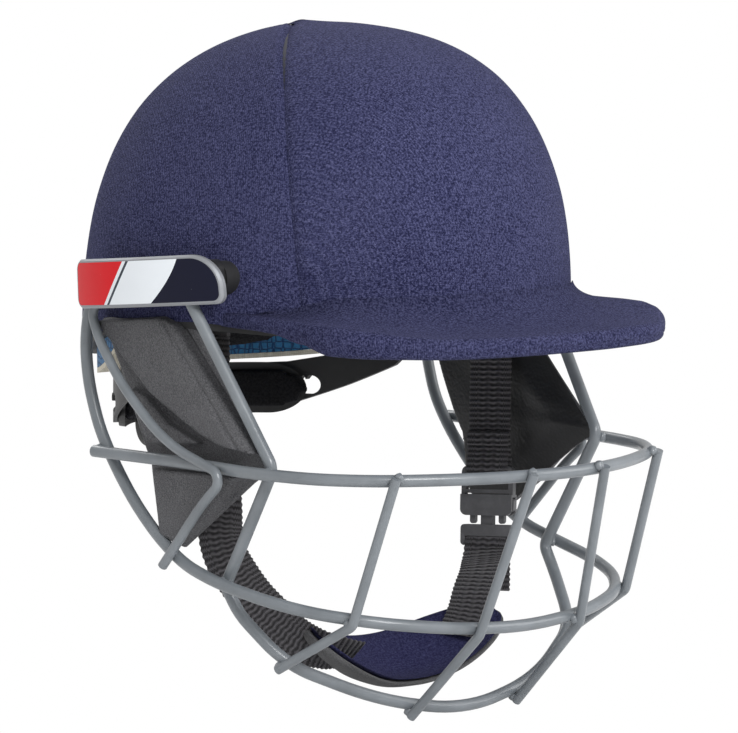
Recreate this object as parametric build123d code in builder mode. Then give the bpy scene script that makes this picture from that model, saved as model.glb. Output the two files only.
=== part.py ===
"""A cricket helmet: a cloth-covered shell with a fixed peak, a welded wire faceguard,
foam ear pads, a chin strap with a cup and a side-release buckle, and a nape adjuster.

Frame: +Z up, the face looks towards -Y, the wearer's left is +X. The origin is the
centre of the head opening, at the height of the shell's rim over the ear.
"""
import os
from math import asin, cos, degrees, radians, sin, tan

from build123d import *

os.makedirs("parts", exist_ok=True)

# Driving dimensions, in millimetres and degrees
dome_half_width = 101.0
dome_half_length = 117.8
dome_centre_y = 1.5
crown_lean = 6.7
dome_height = 135.0
dome_base_z = -6.0
dome_skirt = 40.0
dome_fullness = 2.5
dome_angles = (18, 36, 52, 66, 78, 86)
cloth = 0.9
shell_wall = 3.0
liner_wall = 9.0
pad_wall = 6.0
layer_gap = 0.15
overrun = 5.0

peak_half_width = 97.5
peak_reach = 161.0
peak_side_reach = 143.0
peak_root_y = -28.0
peak_corner = 68.0
peak_edge = 8.0
peak_rise = 15.0
peak_margin = 1.7
board_inset = 4.0
peak_edge_z = 4.0
peak_slope = 40.0
peak_shoulder = 24.0

guard_half_width = 104.0
guard_reach = 156.0
guard_drop = 172.6
bar_radius = 2.7
rod_radius = 2.2
weld_gap = 0.12
rod_end = 3.0
knee_bend = 7.0
foot_bend = 5.0
groove_play = 0.4

plate_length = 95.5
plate_height = 22.0
plate_thickness = 2.4
plate_outer_x = 116.0
plate_bow_radius = 140.0
plate_bow_y = 3.0
plate_centre_y = -1.2
plate_centre_z = 18.5
plate_tilt = 5.4
plate_nose_radius = 15.0
plate_foot_radius = 4.0
plate_corner_radius = 5.0
plate_bevel = 0.9
mount_inset = 2.5
mount_inner_x = 101.6

screw_radius = 2.5
screw_play = 0.05
screw_head_radius = 4.0
screw_head_height = 2.2
nut_flange_radius = 8.0
nut_flange = 1.2
nut_barrel_radius = 3.8
nut_barrel = 2.2
washer_radius = 6.0
washer_thickness = 1.0
boss_radius = 7.6
boss_groove = 0.7
boss_ribs = 4
front_screw_y = -39.0
rear_screw_y = 30.0

pad_inner_x = 91.5
pad_base_x = 98.6
pad_outer_x = 105.2
pad_lining = 1.6

web_width = 20.0
web_thickness = 1.6
web_stitch = 12.0
rivet_radius = 2.4
rivet_head = 1.4

buckle_width = 25.0
buckle_thickness = 8.0
buckle_corner = 3.0
socket_top = 19.0
socket_body_top = 8.0
socket_bottom = -4.0
socket_bar = 4.0
socket_rail = 2.2
socket_wall = 1.7
plug_shoulder = -8.2
plug_foot = -18.0
plug_thickness = 5.6
slot_height = 2.6
tongue_width = 6.0
prong_width = 2.6
prong_centre = 7.0
prong_thickness = 3.6
prong_root = -6.5
buckle_play = 0.3

cup_half_width = 62.0
cup_sagitta = 30.0
cup_depth = 36.0
cup_foam = 5.0
cup_lining = 1.6
cup_tilt = 28.0
cup_y = -43.0
cup_z = -164.0

nape_half_width = 84.0
nape_length = 114.0
strap_thickness = 2.0
cradle_thickness = 3.0
cradle_half_width = 56.0
cradle_low_z = -59.0
cradle_arm_height = 24.0
cradle_crest = 14.0
nape_gap = 0.5
nape_pad = 5.0
slot_length = 34.0
tooth_pitch = 3.3
tooth_depth = 2.0
tooth_count = 8
tab_outer_x = 86.2
tab_thickness = 2.0
pocket_front_y = -40.0
pocket_rear_y = 0.0
pocket_low_z = -30.0
pocket_top_z = 30.0
strap_rivet_y = -20.0
strap_rivet_z = 12.0
nape_rivet_y = 14.0
nape_rivet_z = 4.0
trim_height = 3.2
trim_front_y = -60.0
tape_height = 2.4
brow_pad_width = 120.0
brow_pad_height = 34.0
brow_pad_z = 22.0
occiput_pad_width = 90.0
occiput_pad_z = 4.0
crown_pad_width = 70.0
crown_pad_length = 42.0
crown_pad_y = 28.0
pad_taper = 8.0
pad_corner = 3.0
boss_pitch = 3.0
tab_inner_x = 84.2
tab_low_z = -5.0
socket_slot_top = 4.6
tongue_top = 4.2
plug_bar = 1.8
grip_height = 6.0
web_tail = 24.0
web_bend = 14.0
cup_margin = 1.2
slot_opening = 9.0
cradle_crest_width = 50.0
cradle_margin = 3.0
buckle_x = 77.5
buckle_y = -27.0
buckle_z = -95.0
cup_end_x = 34.0
left_cup_end_y = -52.0
left_cup_end_z = -147.6
lower_knee_x = 60.0
lower_knee_y = -38.0
lower_knee_z = -116.0
screw_socket = 2.0
screw_socket_depth = 1.2
screw_sides = 6
peg_radius = 1.9
button_radius = 6.0
button_height = 1.6
button_root = 4.0
button_y = 17.5

# Places in the guard's own side and front views, as shares of its width, reach and drop
rim_shares = ((1.11, -0.40), (0.83, -0.35), (0.50, -0.17), (0.20, -0.02), (-0.20, 0.026),
              (-0.49, 0.012), (-0.575, 0.002), (-0.765, -0.052), (-0.93, -0.112), (-1.09, -0.118),
              (-1.46, -0.10))
liner_rim_shares = ((1.11, -0.50), (0.71, -0.48), (0.42, -0.32), (0.20, -0.02), (-0.05, 0.03),
                    (-0.30, 0.04), (-0.60, 0.04), (-1.10, 0.03), (-1.45, 0.03))
top_bar_shares = ((1.050, 0.218), (1.010, -0.173), (1.032, -0.462), (0.960, -0.672),
                  (0.798, -0.808), (0.558, -0.902), (0.308, -0.968))
top_bar_height_share = -0.348
middle_bar_shares = ((0.996, 0.242, 0.080), (0.990, 0.292, 0.010), (0.998, 0.299, -0.080), (1.000, 0.282, -0.180),
                     (0.994, 0.240, -0.290), (0.994, 0.175, -0.375), (0.998, 0.085, -0.465),
                     (1.000, -0.024, -0.548), (1.004, -0.145, -0.611), (1.006, -0.290, -0.644),
                     (0.972, -0.465, -0.673), (0.888, -0.605, -0.696), (0.700, -0.742, -0.718),
                     (0.385, -0.832, -0.741))
middle_bar_front_share = (0.000, -0.848, -0.756)
lower_bar_shares = ((1.032, -0.145, 0.120), (0.955, -0.487, -0.338), (0.943, -0.279, -0.655),
                    (0.934, -0.330, -0.724), (0.843, -0.462, -0.845), (0.459, -0.577, -0.950))
lower_bar_front_share = (0.000, -0.609, -1.000)
side_wire_shares = ((1.020, 0.222, 0.046), (1.028, 0.246, 0.008), (1.036, 0.208, -0.056),
                    (1.046, 0.098, -0.166), (1.060, -0.102, -0.298), (1.077, -0.380, -0.362),
                    (1.070, -0.275, -0.440), (1.052, -0.090, -0.618))
ear_outline_shares = ((0.268, -0.008), (-0.032, 0.026), (-0.103, 0.035), (-0.490, -0.332),
                      (-0.398, -0.382), (-0.103, -0.576), (-0.020, -0.562), (0.013, -0.540),
                      (0.045, -0.372), (0.083, -0.312), (0.160, -0.168))
ear_zone_shares = (((0.250, -0.014), (-0.038, 0.020), (-0.092, 0.004), (-0.436, -0.312),
                    (-0.312, -0.306), (-0.217, -0.284), (0.001, -0.198)),
                   ((0.118, -0.178), (0.046, -0.190), (-0.065, -0.259), (-0.195, -0.300),
                    (0.001, -0.322), (0.046, -0.314)),
                   ((0.005, -0.372), (-0.380, -0.358), (-0.240, -0.480), (-0.112, -0.556),
                    (-0.030, -0.545)))
rod_widths = {"outer": (0.745, 0.772, 0.830), "inner": (0.205, 0.288, 0.300)}
rim_height_share = 0.4545
peak_rim_from = 3
peak_root_share = 0.33
bend_share = 0.45
search_steps = 40
boss_cut_share = 0.33
pad_edge_share = 0.33
web_bend_share = 0.7
join_share = 0.25
tooth_tip_share = 0.7
button_round_share = 0.6
pad_round_share = 0.3
spacer_start_share = 0.8
rivet_head_share = 1.9
tooth_lean_share = 0.7
slot_front_share = 0.640
slot_top_share = -0.360
nape_strap_shares = ((0.050, -0.040), (0.330, -0.300), (0.540, -0.395), (0.780, -0.495),
                     (0.990, -0.530), (0.990, -0.320), (0.760, -0.305), (0.560, -0.260),
                     (0.240, -0.050), (0.200, 0.105), (0.050, 0.105))
right_web_shares = ((-1.355, -0.435, -1.371), (-1.242, -0.548, -1.726), (-0.948, -0.690, -2.000),
                    (-0.677, -0.800, -2.240))
seam_back_share = 0.13
seam_side_share = -0.76

# Lengths worked out from the ones above
shell_depth = cloth + layer_gap
liner_depth = shell_depth + shell_wall + layer_gap
comfort_depth = liner_depth + liner_wall + layer_gap
far_out = dome_half_length + peak_reach
screw_z = {y: plate_centre_z - (y - plate_centre_y) * tan(radians(plate_tilt))
           for y in (front_screw_y, rear_screw_y)}
crown_z = dome_base_z + dome_height * sin(radians(dome_angles[-1])) ** (2 / dome_fullness)
strap_rivet = (strap_rivet_y, strap_rivet_z)
nape_rivet = (nape_rivet_y, nape_rivet_z)
side_frame = [(-far_out, -far_out), (far_out, -far_out), (far_out, far_out), (-far_out, far_out)]


def finish(block, name):
    """Label a finished piece and write it under its own name"""
    block.part.label = name
    export_step(block.part, f"parts/{name}.step")


def side_view(shares):
    """Points of a side view, from shares of the guard's reach and drop"""
    return [(y * guard_reach, z * guard_drop) for y, z in shares]


def rim_view(shares):
    """Points of a rim in side view, from shares of the dome's half length and of its rim height"""
    return [(y * dome_half_length, z * dome_height * rim_height_share) for y, z in shares]


def dome_solid(depth):
    """All the space under the dome's surface at a depth, through ellipses at rising heights"""
    power = 2 / dome_fullness
    height = dome_height - depth
    steps = [(-dome_skirt, 1, dome_centre_y), (0, 1, dome_centre_y)]
    for angle in dome_angles:
        rise = sin(radians(angle)) ** power
        middle_y = dome_centre_y * (1 - rise) - crown_lean * rise ** 2
        steps.append((height * rise, (1 - rise ** dome_fullness) ** (1 / dome_fullness), middle_y))
    with BuildPart(mode=Mode.PRIVATE) as solid:
        for rise, share, middle_y in steps:
            with BuildSketch(Plane.XY.offset(dome_base_z + rise)):
                with Locations((0, middle_y)):
                    Ellipse((dome_half_width - depth) * share, (dome_half_length - depth) * share)
        loft()
    return solid.part


def below_rim(shares, lower=0.0):
    """The space below a rim line, right across the helmet"""
    points = [(y, z - lower) for y, z in rim_view(shares)]
    with BuildPart(mode=Mode.PRIVATE) as space:
        with BuildSketch(Plane.YZ):
            with BuildLine():
                Spline(*points)
                Polyline(points[-1], (points[-1][0], -far_out), (points[0][0], -far_out), points[0])
            make_face()
        extrude(amount=far_out, both=True)
    return space.part


def front_wedge():
    """The space in front of the two crown-to-temple seams"""
    back_y = seam_back_share * dome_half_length
    side_y = seam_side_share * dome_half_length
    slope = (side_y - back_y) / dome_half_width
    reach = dome_half_width + peak_reach
    with BuildPart(mode=Mode.PRIVATE) as space:
        with BuildSketch(Plane.XY.offset(dome_base_z - dome_skirt)):
            with BuildLine():
                Polyline((0, back_y), (reach, back_y + slope * reach), (-reach, back_y + slope * reach),
                         close=True)
            make_face()
        extrude(amount=dome_skirt + 2 * dome_height)
    return space.part


def peak_plan(inset):
    """A block with the peak's outline seen from above"""
    half = peak_half_width - inset
    side_y = -(peak_side_reach - inset)
    with BuildPart(mode=Mode.PRIVATE) as block:
        with BuildSketch() as plan:
            with BuildLine():
                Line((half, peak_root_y), (half, side_y))
                ThreePointArc((half, side_y), (0, -(peak_reach - inset)), (-half, side_y))
                Polyline((-half, side_y), (-half, peak_root_y), (half, peak_root_y))
            make_face()
            fillet(plan.vertices().group_by(Axis.Y)[0], peak_corner - inset)
        extrude(amount=2 * dome_height, both=True)
    return block.part


def peak_slopes():
    """The space under two planes that fall from the dome to the peak's side edges"""
    drop = peak_shoulder * tan(radians(peak_slope))
    points = [(-peak_half_width - overrun, -far_out), (peak_half_width + overrun, -far_out),
              (peak_half_width + overrun, peak_edge_z - overrun * tan(radians(peak_slope))),
              (peak_half_width - peak_shoulder, peak_edge_z + drop),
              (peak_shoulder - peak_half_width, peak_edge_z + drop),
              (-peak_half_width - overrun, peak_edge_z - overrun * tan(radians(peak_slope)))]
    with BuildPart(mode=Mode.PRIVATE) as space:
        with BuildSketch(Plane.XZ):
            Polygon(*points, align=None)
        extrude(amount=far_out)
    return space.part


def peak_slab(under, over, rise):
    """The peak between two surfaces that follow the rim line, the upper one rising to the dome"""
    points = rim_view(rim_shares)[peak_rim_from:]
    front_y = -peak_reach
    with BuildPart(mode=Mode.PRIVATE) as slab:
        with BuildSketch(Plane.YZ):
            with BuildLine():
                lower = Spline(*[(y, z - under) for y, z in points])
                last = lower @ 1
                first = lower @ 0
                Line(last, (last.X, last.Y + under + over))
                Bezier((last.X, last.Y + under + over), (front_y, last.Y + under + over),
                       (-dome_half_length - peak_margin, last.Y + over + rise * peak_root_share),
                       (-dome_half_length + peak_rise, over + rise))
                Line((-dome_half_length + peak_rise, over + rise), (first.X, over + rise))
                Line((first.X, over + rise), first)
            make_face()
        extrude(amount=peak_half_width + overrun, both=True)
    return slab.part


def wire_points(shares, front_share):
    """A bar's whole path from its shares for the wearer's left, mirrored to the right"""
    scale_to = (guard_half_width, guard_reach, guard_drop)
    left = [tuple(s * size for s, size in zip(share, scale_to)) for share in shares]
    right = [(-x, y, z) for x, y, z in left]
    middle = [tuple(s * size for s, size in zip(front_share, scale_to))]
    return right + middle + left[::-1]


def bend_radii(points, least=0.0):
    """The largest bend at each corner of a path that its two runs allow"""
    corners = [Vector(*p) for p in points]
    radii = []
    for before, at, after in zip(corners, corners[1:], corners[2:]):
        turn = radians((at - before).get_angle(after - at))
        run = min((at - before).length, (after - at).length)
        radii.append(max(least, bend_share * run / tan(turn / 2)))
    return radii


def wire(points, radius, radii=None):
    """A round wire along a path of straight runs and tangent bends"""
    with BuildPart() as rod:
        with BuildLine() as path:
            FilletPolyline(*points, radius=radii or bend_radii(points))
        with BuildSketch(Plane(origin=path.line @ 0, z_dir=path.line % 0)):
            Circle(radius)
        sweep()
    return rod


def path_of(points, radii):
    """The same path as a plain line, for finding places on it"""
    with BuildLine() as path:
        FilletPolyline(*points, radius=radii)
    return path.wires()[0]


def at_width(path, x):
    """The place on the front half of a bar that is x from the middle plane, and its direction"""
    low, high = 0.5, 1.0
    for _ in range(search_steps):
        middle = (low + high) / 2
        if path.position_at(middle).X < x:
            low = middle
        else:
            high = middle
    return path.position_at(low), path.tangent_at(low)


def rod_points(paths, widths):
    """A front rod's path, laid outside the top, middle and lower bars"""
    spots = [at_width(path, x) for path, x in zip(paths, widths)]
    places = [place for place, _ in spots]
    upper = (places[1] - places[0]).normalized()
    lower = (places[2] - places[1]).normalized()
    reach = bar_radius + rod_radius + weld_gap
    outward = []
    for direction, (_, along) in zip((upper, upper, lower, lower), (spots[0], spots[1], spots[1], spots[2])):
        side = along.cross(direction).normalized()
        outward.append(side if side.Y < 0 else side * -1)
    bisector = (outward[1] + outward[2]).normalized()
    half_turn = radians(outward[1].get_angle(outward[2]) / 2)
    top = places[0] + outward[0] * reach - upper * rod_end
    bend = places[1] + bisector * (reach / cos(half_turn))
    foot = places[2] + outward[3] * reach + lower * rod_end
    return [tuple(top), tuple(bend), tuple(foot)]


def lengthwise(y, z, radius, length=0.0):
    """A round bar across the helmet at one place of its side view"""
    return Plane(origin=(0, y, z), z_dir=(1, 0, 0)) * Cylinder(radius, length or 2 * far_out, mode=Mode.PRIVATE)


def side_block(points, x_from, x_to, taper=0.0, corner=0.0):
    """A block drawn in side view, on the wearer's left, between two distances from the middle"""
    with BuildPart(mode=Mode.PRIVATE) as block:
        with BuildSketch(Plane.YZ.offset(x_from)) as outline:
            Polygon(*points, align=None)
            if corner:
                fillet(outline.vertices(), corner)
        extrude(amount=x_to - x_from, taper=taper)
    return block.part


def finish_pair(block, name):
    """Write a piece of the wearer's left, and its mirror image on the right"""
    finish(block, f"{name}_left")
    with BuildPart() as other:
        mirror(block.part, about=Plane.YZ)
    finish(other, f"{name}_right")


def both_sides(block):
    """A piece of the wearer's left together with its mirror image"""
    with BuildPart(mode=Mode.PRIVATE) as pair:
        add(block)
        mirror(block, about=Plane.YZ)
    return pair


# The hard shell: dome and peak in one moulding, drilled for the four guard screws
with BuildPart() as hard_shell:
    add(dome_solid(shell_depth))
    add(dome_solid(shell_depth + shell_wall), mode=Mode.SUBTRACT)
    add(peak_slab(-peak_margin, peak_margin + shell_wall, 0)
        & peak_plan(board_inset)
        - dome_solid(shell_depth + shell_wall / 2))
    add(below_rim(rim_shares), mode=Mode.SUBTRACT)
    for screw_y, height in screw_z.items():
        add(lengthwise(screw_y, height, nut_barrel_radius + screw_play), mode=Mode.SUBTRACT)
    add(lengthwise(*strap_rivet, rivet_radius + screw_play), mode=Mode.SUBTRACT)
    add(lengthwise(*nape_rivet, rivet_radius + screw_play), mode=Mode.SUBTRACT)
finish(hard_shell, "hard_shell")

# The cloth cover, in a front and a rear panel that meet at the crown-to-temple seams
cover_skin = (dome_solid(0) - dome_solid(cloth) - below_rim(rim_shares)
              - (peak_slab(overrun, peak_edge, 0) & peak_plan(0)))
screw_holes = [lengthwise(y, z, nut_barrel_radius + screw_play) for y, z in screw_z.items()]
with BuildPart() as cover_front:
    add(cover_skin & front_wedge())
finish(cover_front, "cover_front")
with BuildPart() as cover_rear:
    add(cover_skin - front_wedge())
    add(screw_holes, mode=Mode.SUBTRACT)
finish(cover_rear, "cover_rear")

# The peak's padded cloth cover, wrapped round the board and butted to the dome
with BuildPart() as peak_cover:
    add(peak_slab(0, peak_edge, peak_rise) & peak_plan(0) & peak_slopes())
    add(dome_solid(-layer_gap), mode=Mode.SUBTRACT)
    add(hard_shell.part, mode=Mode.SUBTRACT)
finish(peak_cover, "peak_cover")

# The crown button, where the seams meet behind the top of the dome
with BuildPart() as crown_button:
    with BuildSketch(Plane.XY.offset(crown_z - button_root)):
        with Locations((0, button_y)):
            Circle(button_radius)
    extrude(amount=button_root + button_height)
    fillet(crown_button.faces().sort_by(Axis.Z)[-1].edges(), button_height * button_round_share)
    add(dome_solid(0), mode=Mode.SUBTRACT)
finish(crown_button, "crown_button")

# The black trim that closes the raw edge of shell and cloth behind the temples
with BuildPart() as rim_trim:
    add((dome_solid(0) - dome_solid(liner_depth)) & below_rim(rim_shares, layer_gap))
    add(below_rim(rim_shares, trim_height), mode=Mode.SUBTRACT)
    with BuildSketch(Plane.XZ.offset(-trim_front_y)):
        Rectangle(2 * far_out, 2 * far_out)
    extrude(amount=far_out, mode=Mode.SUBTRACT)
finish(rim_trim, "rim_trim")

# The foam liner, with its strap pockets, rivet holes and seats for the T-nuts
pocket_points = [(pocket_front_y, pocket_low_z), (pocket_rear_y, pocket_low_z),
                 (pocket_rear_y, pocket_top_z), (pocket_front_y, pocket_top_z)]
with BuildPart() as foam_liner:
    add(dome_solid(liner_depth) - dome_solid(liner_depth + liner_wall))
    add(below_rim(liner_rim_shares), mode=Mode.SUBTRACT)
    pockets = both_sides(side_block(pocket_points, 0, tab_outer_x + layer_gap))
    add(pockets.part, mode=Mode.SUBTRACT)
    for y, z in screw_z.items():
        add(lengthwise(y, z, nut_flange_radius + groove_play) - dome_solid(liner_depth + nut_flange + layer_gap),
            mode=Mode.SUBTRACT)
    add(lengthwise(*strap_rivet, rivet_radius + screw_play), mode=Mode.SUBTRACT)
    add(lengthwise(*nape_rivet, rivet_radius + screw_play), mode=Mode.SUBTRACT)
finish(foam_liner, "foam_liner")

# The pale tape along the liner's lower edge
with BuildPart() as liner_tape:
    add((dome_solid(liner_depth) - dome_solid(liner_depth + liner_wall))
        & below_rim(liner_rim_shares, layer_gap))
    add(below_rim(liner_rim_shares, tape_height), mode=Mode.SUBTRACT)
    add(pockets.part, mode=Mode.SUBTRACT)
finish(liner_tape, "liner_tape")

# The comfort pads: brow, crown and nape, cut from one layer with drawn-in sides
comfort_layer = dome_solid(comfort_depth) - dome_solid(comfort_depth + pad_wall)
with BuildPart() as brow_cut:
    with BuildSketch(Plane.XZ):
        with Locations((0, brow_pad_z)):
            RectangleRounded(brow_pad_width, brow_pad_height, brow_pad_height * pad_round_share)
    extrude(amount=far_out, taper=-pad_taper)
with BuildPart() as brow_pad:
    add(comfort_layer & brow_cut.part)
finish(brow_pad, "brow_pad")
with BuildPart() as nape_cut:
    with BuildSketch(Plane.XZ.offset(0)):
        with Locations((0, occiput_pad_z)):
            RectangleRounded(occiput_pad_width, brow_pad_height, brow_pad_height * pad_round_share)
    extrude(amount=-far_out, taper=-pad_taper)
with BuildPart() as occiput_pad:
    add(comfort_layer & nape_cut.part)
finish(occiput_pad, "occiput_pad")
for name, y in {"front": -crown_pad_y, "rear": crown_pad_y}.items():
    with BuildPart() as crown_cut:
        with BuildSketch(Plane.XY.offset(dome_base_z + dome_height / 2)):
            with Locations((0, y)):
                RectangleRounded(crown_pad_width, crown_pad_length, crown_pad_length * pad_round_share)
        extrude(amount=dome_height, taper=pad_taper / 2)
    with BuildPart() as crown_pad:
        add(comfort_layer & crown_cut.part)
    finish(crown_pad, f"crown_pad_{name}")

# The faceguard's wires: three bars, four front rods and two side wires
top_points = wire_points([(x, y, top_bar_height_share) for x, y in top_bar_shares],
                         (0, -1, top_bar_height_share))
middle_points = wire_points(middle_bar_shares, middle_bar_front_share)
lower_points = wire_points(lower_bar_shares, lower_bar_front_share)
guard_size = (guard_half_width, guard_reach, guard_drop)
side_points = [tuple(s * size for s, size in zip(share, guard_size)) for share in side_wire_shares]

top_bar = wire(top_points, bar_radius)
finish(top_bar, "guard_top_bar")
middle_bar = wire(middle_points, bar_radius)
finish(middle_bar, "guard_middle_bar")
lower_radii = bend_radii(lower_points)
lower_radii[0] = lower_radii[-1] = knee_bend
lower_radii[1] = lower_radii[-2] = foot_bend
lower_bar = wire(lower_points, bar_radius, lower_radii)
finish(lower_bar, "guard_lower_bar")
side_wire = wire(side_points, rod_radius)
finish_pair(side_wire, "guard_side_wire")

bars = [path_of(top_points, bend_radii(top_points)), path_of(middle_points, bend_radii(middle_points)),
        path_of(lower_points, lower_radii)]
rod_bend = bar_radius + rod_radius + weld_gap
for name, widths in rod_widths.items():
    rod = rod_points(bars, [share * guard_half_width for share in widths])
    front_rod = wire(rod, rod_radius, [rod_bend])
    finish_pair(front_rod, f"guard_{name}_rod")

# Room around the wires, for what they pass through
wire_room = [wire(top_points, bar_radius + groove_play).part,
             wire(middle_points, bar_radius + groove_play).part,
             wire(lower_points, bar_radius + groove_play, lower_radii).part,
             wire(side_points, rod_radius + groove_play).part]

# The side mounts: a moulded block that holds the wire ends, its cover plate and spacers
plate_axis = (0, cos(radians(plate_tilt)), -sin(radians(plate_tilt)))
plate_plane = Plane(origin=(0, plate_centre_y, plate_centre_z), x_dir=plate_axis, z_dir=(1, 0, 0))


def plate_face(y, depth):
    """How far out the bowed plate's outer face is at one place, or a surface at a depth inside it"""
    reach = plate_bow_radius - depth
    return plate_outer_x - plate_bow_radius + (reach ** 2 - (y - plate_bow_y) ** 2) ** 0.5


def bow(depth):
    """All the space inside the plate's bowed outer face, less a depth"""
    centre = Plane(origin=(plate_outer_x - plate_bow_radius, plate_bow_y, 0))
    return centre * Cylinder(plate_bow_radius - depth, 2 * plate_outer_x, mode=Mode.PRIVATE)


def head_face(y):
    """How far out a screw's head reaches, below the bowed plate on both its sides"""
    return min(plate_face(y + side * screw_head_radius, plate_thickness + layer_gap) for side in (-1, 1)) - layer_gap


with BuildPart() as side_plate:
    with BuildSketch(plate_plane) as outline:
        Rectangle(plate_length, plate_height)
        fillet(outline.vertices().group_by(Axis.X)[-1], plate_corner_radius)
        fillet(outline.vertices().group_by(Axis.X)[0].sort_by(Axis.Y)[-1], plate_nose_radius)
        fillet(outline.vertices().group_by(Axis.X)[0].sort_by(Axis.Y)[0], plate_foot_radius)
    extrude(amount=plate_bow_radius)
    add(bow(0), mode=Mode.INTERSECT)
    add(bow(plate_thickness), mode=Mode.SUBTRACT)
    chamfer(side_plate.faces().sort_by(Axis.X)[-1].edges(), plate_bevel)
finish_pair(side_plate, "side_plate")

with BuildPart() as guard_mount:
    with BuildSketch(plate_plane.offset(mount_inner_x)):
        RectangleRounded(plate_length - 2 * mount_inset, plate_height - 2 * mount_inset,
                         plate_corner_radius)
    extrude(amount=plate_outer_x - mount_inner_x)
    add(bow(plate_thickness + layer_gap), mode=Mode.INTERSECT)
    add(wire_room, mode=Mode.SUBTRACT)
    for y, z in screw_z.items():
        add(lengthwise(y, z, screw_radius + screw_play), mode=Mode.SUBTRACT)
        seat = head_face(y) - screw_head_height - screw_play
        with Locations(Plane(origin=(seat, y, z), z_dir=(1, 0, 0))):
            Cylinder(screw_head_radius + screw_play, plate_outer_x,
                     align=(Align.CENTER, Align.CENTER, Align.MIN), mode=Mode.SUBTRACT)
finish_pair(guard_mount, "guard_mount")

spacer_parts = []
for y, z in screw_z.items():
    with BuildPart() as spacer:
        start = dome_half_width * spacer_start_share
        length = mount_inner_x - washer_thickness - start
        with Locations(Plane(origin=(start, y, z), z_dir=(1, 0, 0))):
            Cylinder(boss_radius, length, align=(Align.CENTER, Align.CENTER, Align.MIN))
        for i in range(boss_ribs):
            at = start + length - (i + 0.5) * boss_pitch
            with Locations(Plane(origin=(at, y, z), z_dir=(1, 0, 0))):
                add(Cylinder(boss_radius + overrun, boss_pitch * boss_cut_share, mode=Mode.PRIVATE)
                    - Cylinder(boss_radius - boss_groove, boss_pitch * boss_cut_share, mode=Mode.PRIVATE),
                    mode=Mode.SUBTRACT)
        add(dome_solid(-layer_gap), mode=Mode.SUBTRACT)
        add(lengthwise(y, z, screw_radius + screw_play), mode=Mode.SUBTRACT)
    spacer_parts.append(spacer.part)
with BuildPart() as spacers:
    add(spacer_parts)
finish_pair(spacers, "guard_spacers")

with BuildPart() as washers:
    for y, z in screw_z.items():
        with Locations(Plane(origin=(mount_inner_x - washer_thickness / 2, y, z), z_dir=(1, 0, 0))):
            Cylinder(washer_radius, washer_thickness - layer_gap)
            Hole(screw_radius + screw_play)
finish_pair(washers, "guard_washers")

with BuildPart() as screws:
    for y, z in screw_z.items():
        tip = dome_half_width * (1 - (y / dome_half_length) ** 2) ** 0.5 - liner_depth
        face = head_face(y)
        with Locations(Plane(origin=(face, y, z), z_dir=(-1, 0, 0))):
            Cylinder(screw_head_radius, screw_head_height - layer_gap,
                     align=(Align.CENTER, Align.CENTER, Align.MIN))
            Cylinder(screw_radius, face - tip, align=(Align.CENTER, Align.CENTER, Align.MIN))
        with BuildSketch(Plane(origin=(face, y, z), z_dir=(-1, 0, 0))):
            RegularPolygon(screw_socket, screw_sides)
        extrude(amount=screw_socket_depth, mode=Mode.SUBTRACT)
finish_pair(screws, "guard_screws")

with BuildPart() as nuts:
    for y, z in screw_z.items():
        half = lengthwise(y, z, nut_flange_radius) & side_block(side_frame, 0, far_out)
        add(half & (dome_solid(liner_depth) - dome_solid(liner_depth + nut_flange)))
        add(lengthwise(y, z, nut_barrel_radius) & side_block(side_frame, 0, far_out)
            & (dome_solid(cloth + layer_gap) - dome_solid(liner_depth + nut_flange / 2)))
        add(lengthwise(y, z, screw_radius + screw_play), mode=Mode.SUBTRACT)
finish_pair(nuts, "guard_nuts")

# The ear pads: a flanged base with three raised zones between the wires, and an inner lining
shell_room = dome_solid(-groove_play) - (below_rim(rim_shares, trim_height + groove_play)
                                         & below_rim(liner_rim_shares, tape_height + groove_play))
ear_outline = side_view(ear_outline_shares)
with BuildPart() as ear_pad:
    add(side_block(ear_outline, pad_inner_x + pad_lining + layer_gap, pad_base_x, 0, pad_corner))
    for zone in ear_zone_shares:
        add(side_block(side_view(zone), pad_base_x, pad_outer_x, pad_taper, pad_corner))
    fillet(ear_pad.faces().sort_by(Axis.X)[0].edges(), pad_corner * pad_edge_share)
    add(wire_room, mode=Mode.SUBTRACT)
    add(shell_room, mode=Mode.SUBTRACT)
finish_pair(ear_pad, "ear_pad")
with BuildPart() as ear_lining:
    add(side_block(ear_outline, pad_inner_x, pad_inner_x + pad_lining, 0, pad_corner))
    add(wire_room, mode=Mode.SUBTRACT)
    add(shell_room, mode=Mode.SUBTRACT)
finish_pair(ear_lining, "ear_lining")

# The chin strap's anchors: rivets through liner and shell, each with a webbing tab that turns on it
strap_rivets_left = lengthwise(*strap_rivet, rivet_radius) & (dome_solid(shell_depth)
                                                              - side_block(side_frame, -far_out, tab_inner_x))
with BuildPart() as strap_rivets:
    add(strap_rivets_left)
    with Locations(Plane(origin=(tab_inner_x - layer_gap, *strap_rivet), z_dir=(-1, 0, 0))):
        Cylinder(rivet_radius * rivet_head_share, rivet_head,
                 align=(Align.CENTER, Align.CENTER, Align.MIN))
    with Locations(Plane(origin=(tab_inner_x - 2 * layer_gap, *strap_rivet), z_dir=(1, 0, 0))):
        Cylinder(rivet_radius, 2 * rivet_head, align=(Align.CENTER, Align.CENTER, Align.MIN))
finish_pair(strap_rivets, "strap_rivet")

with BuildPart() as strap_tab:
    with BuildSketch(Plane.YZ.offset(tab_inner_x)):
        with Locations((strap_rivet_y, (strap_rivet_z + tab_low_z) / 2)):
            Rectangle(web_width, strap_rivet_z - tab_low_z)
        with Locations(strap_rivet):
            Circle(web_width / 2)
            Circle(rivet_radius + screw_play, mode=Mode.SUBTRACT)
    extrude(amount=tab_outer_x - layer_gap - tab_inner_x)
finish_pair(strap_tab, "strap_tab")

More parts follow.
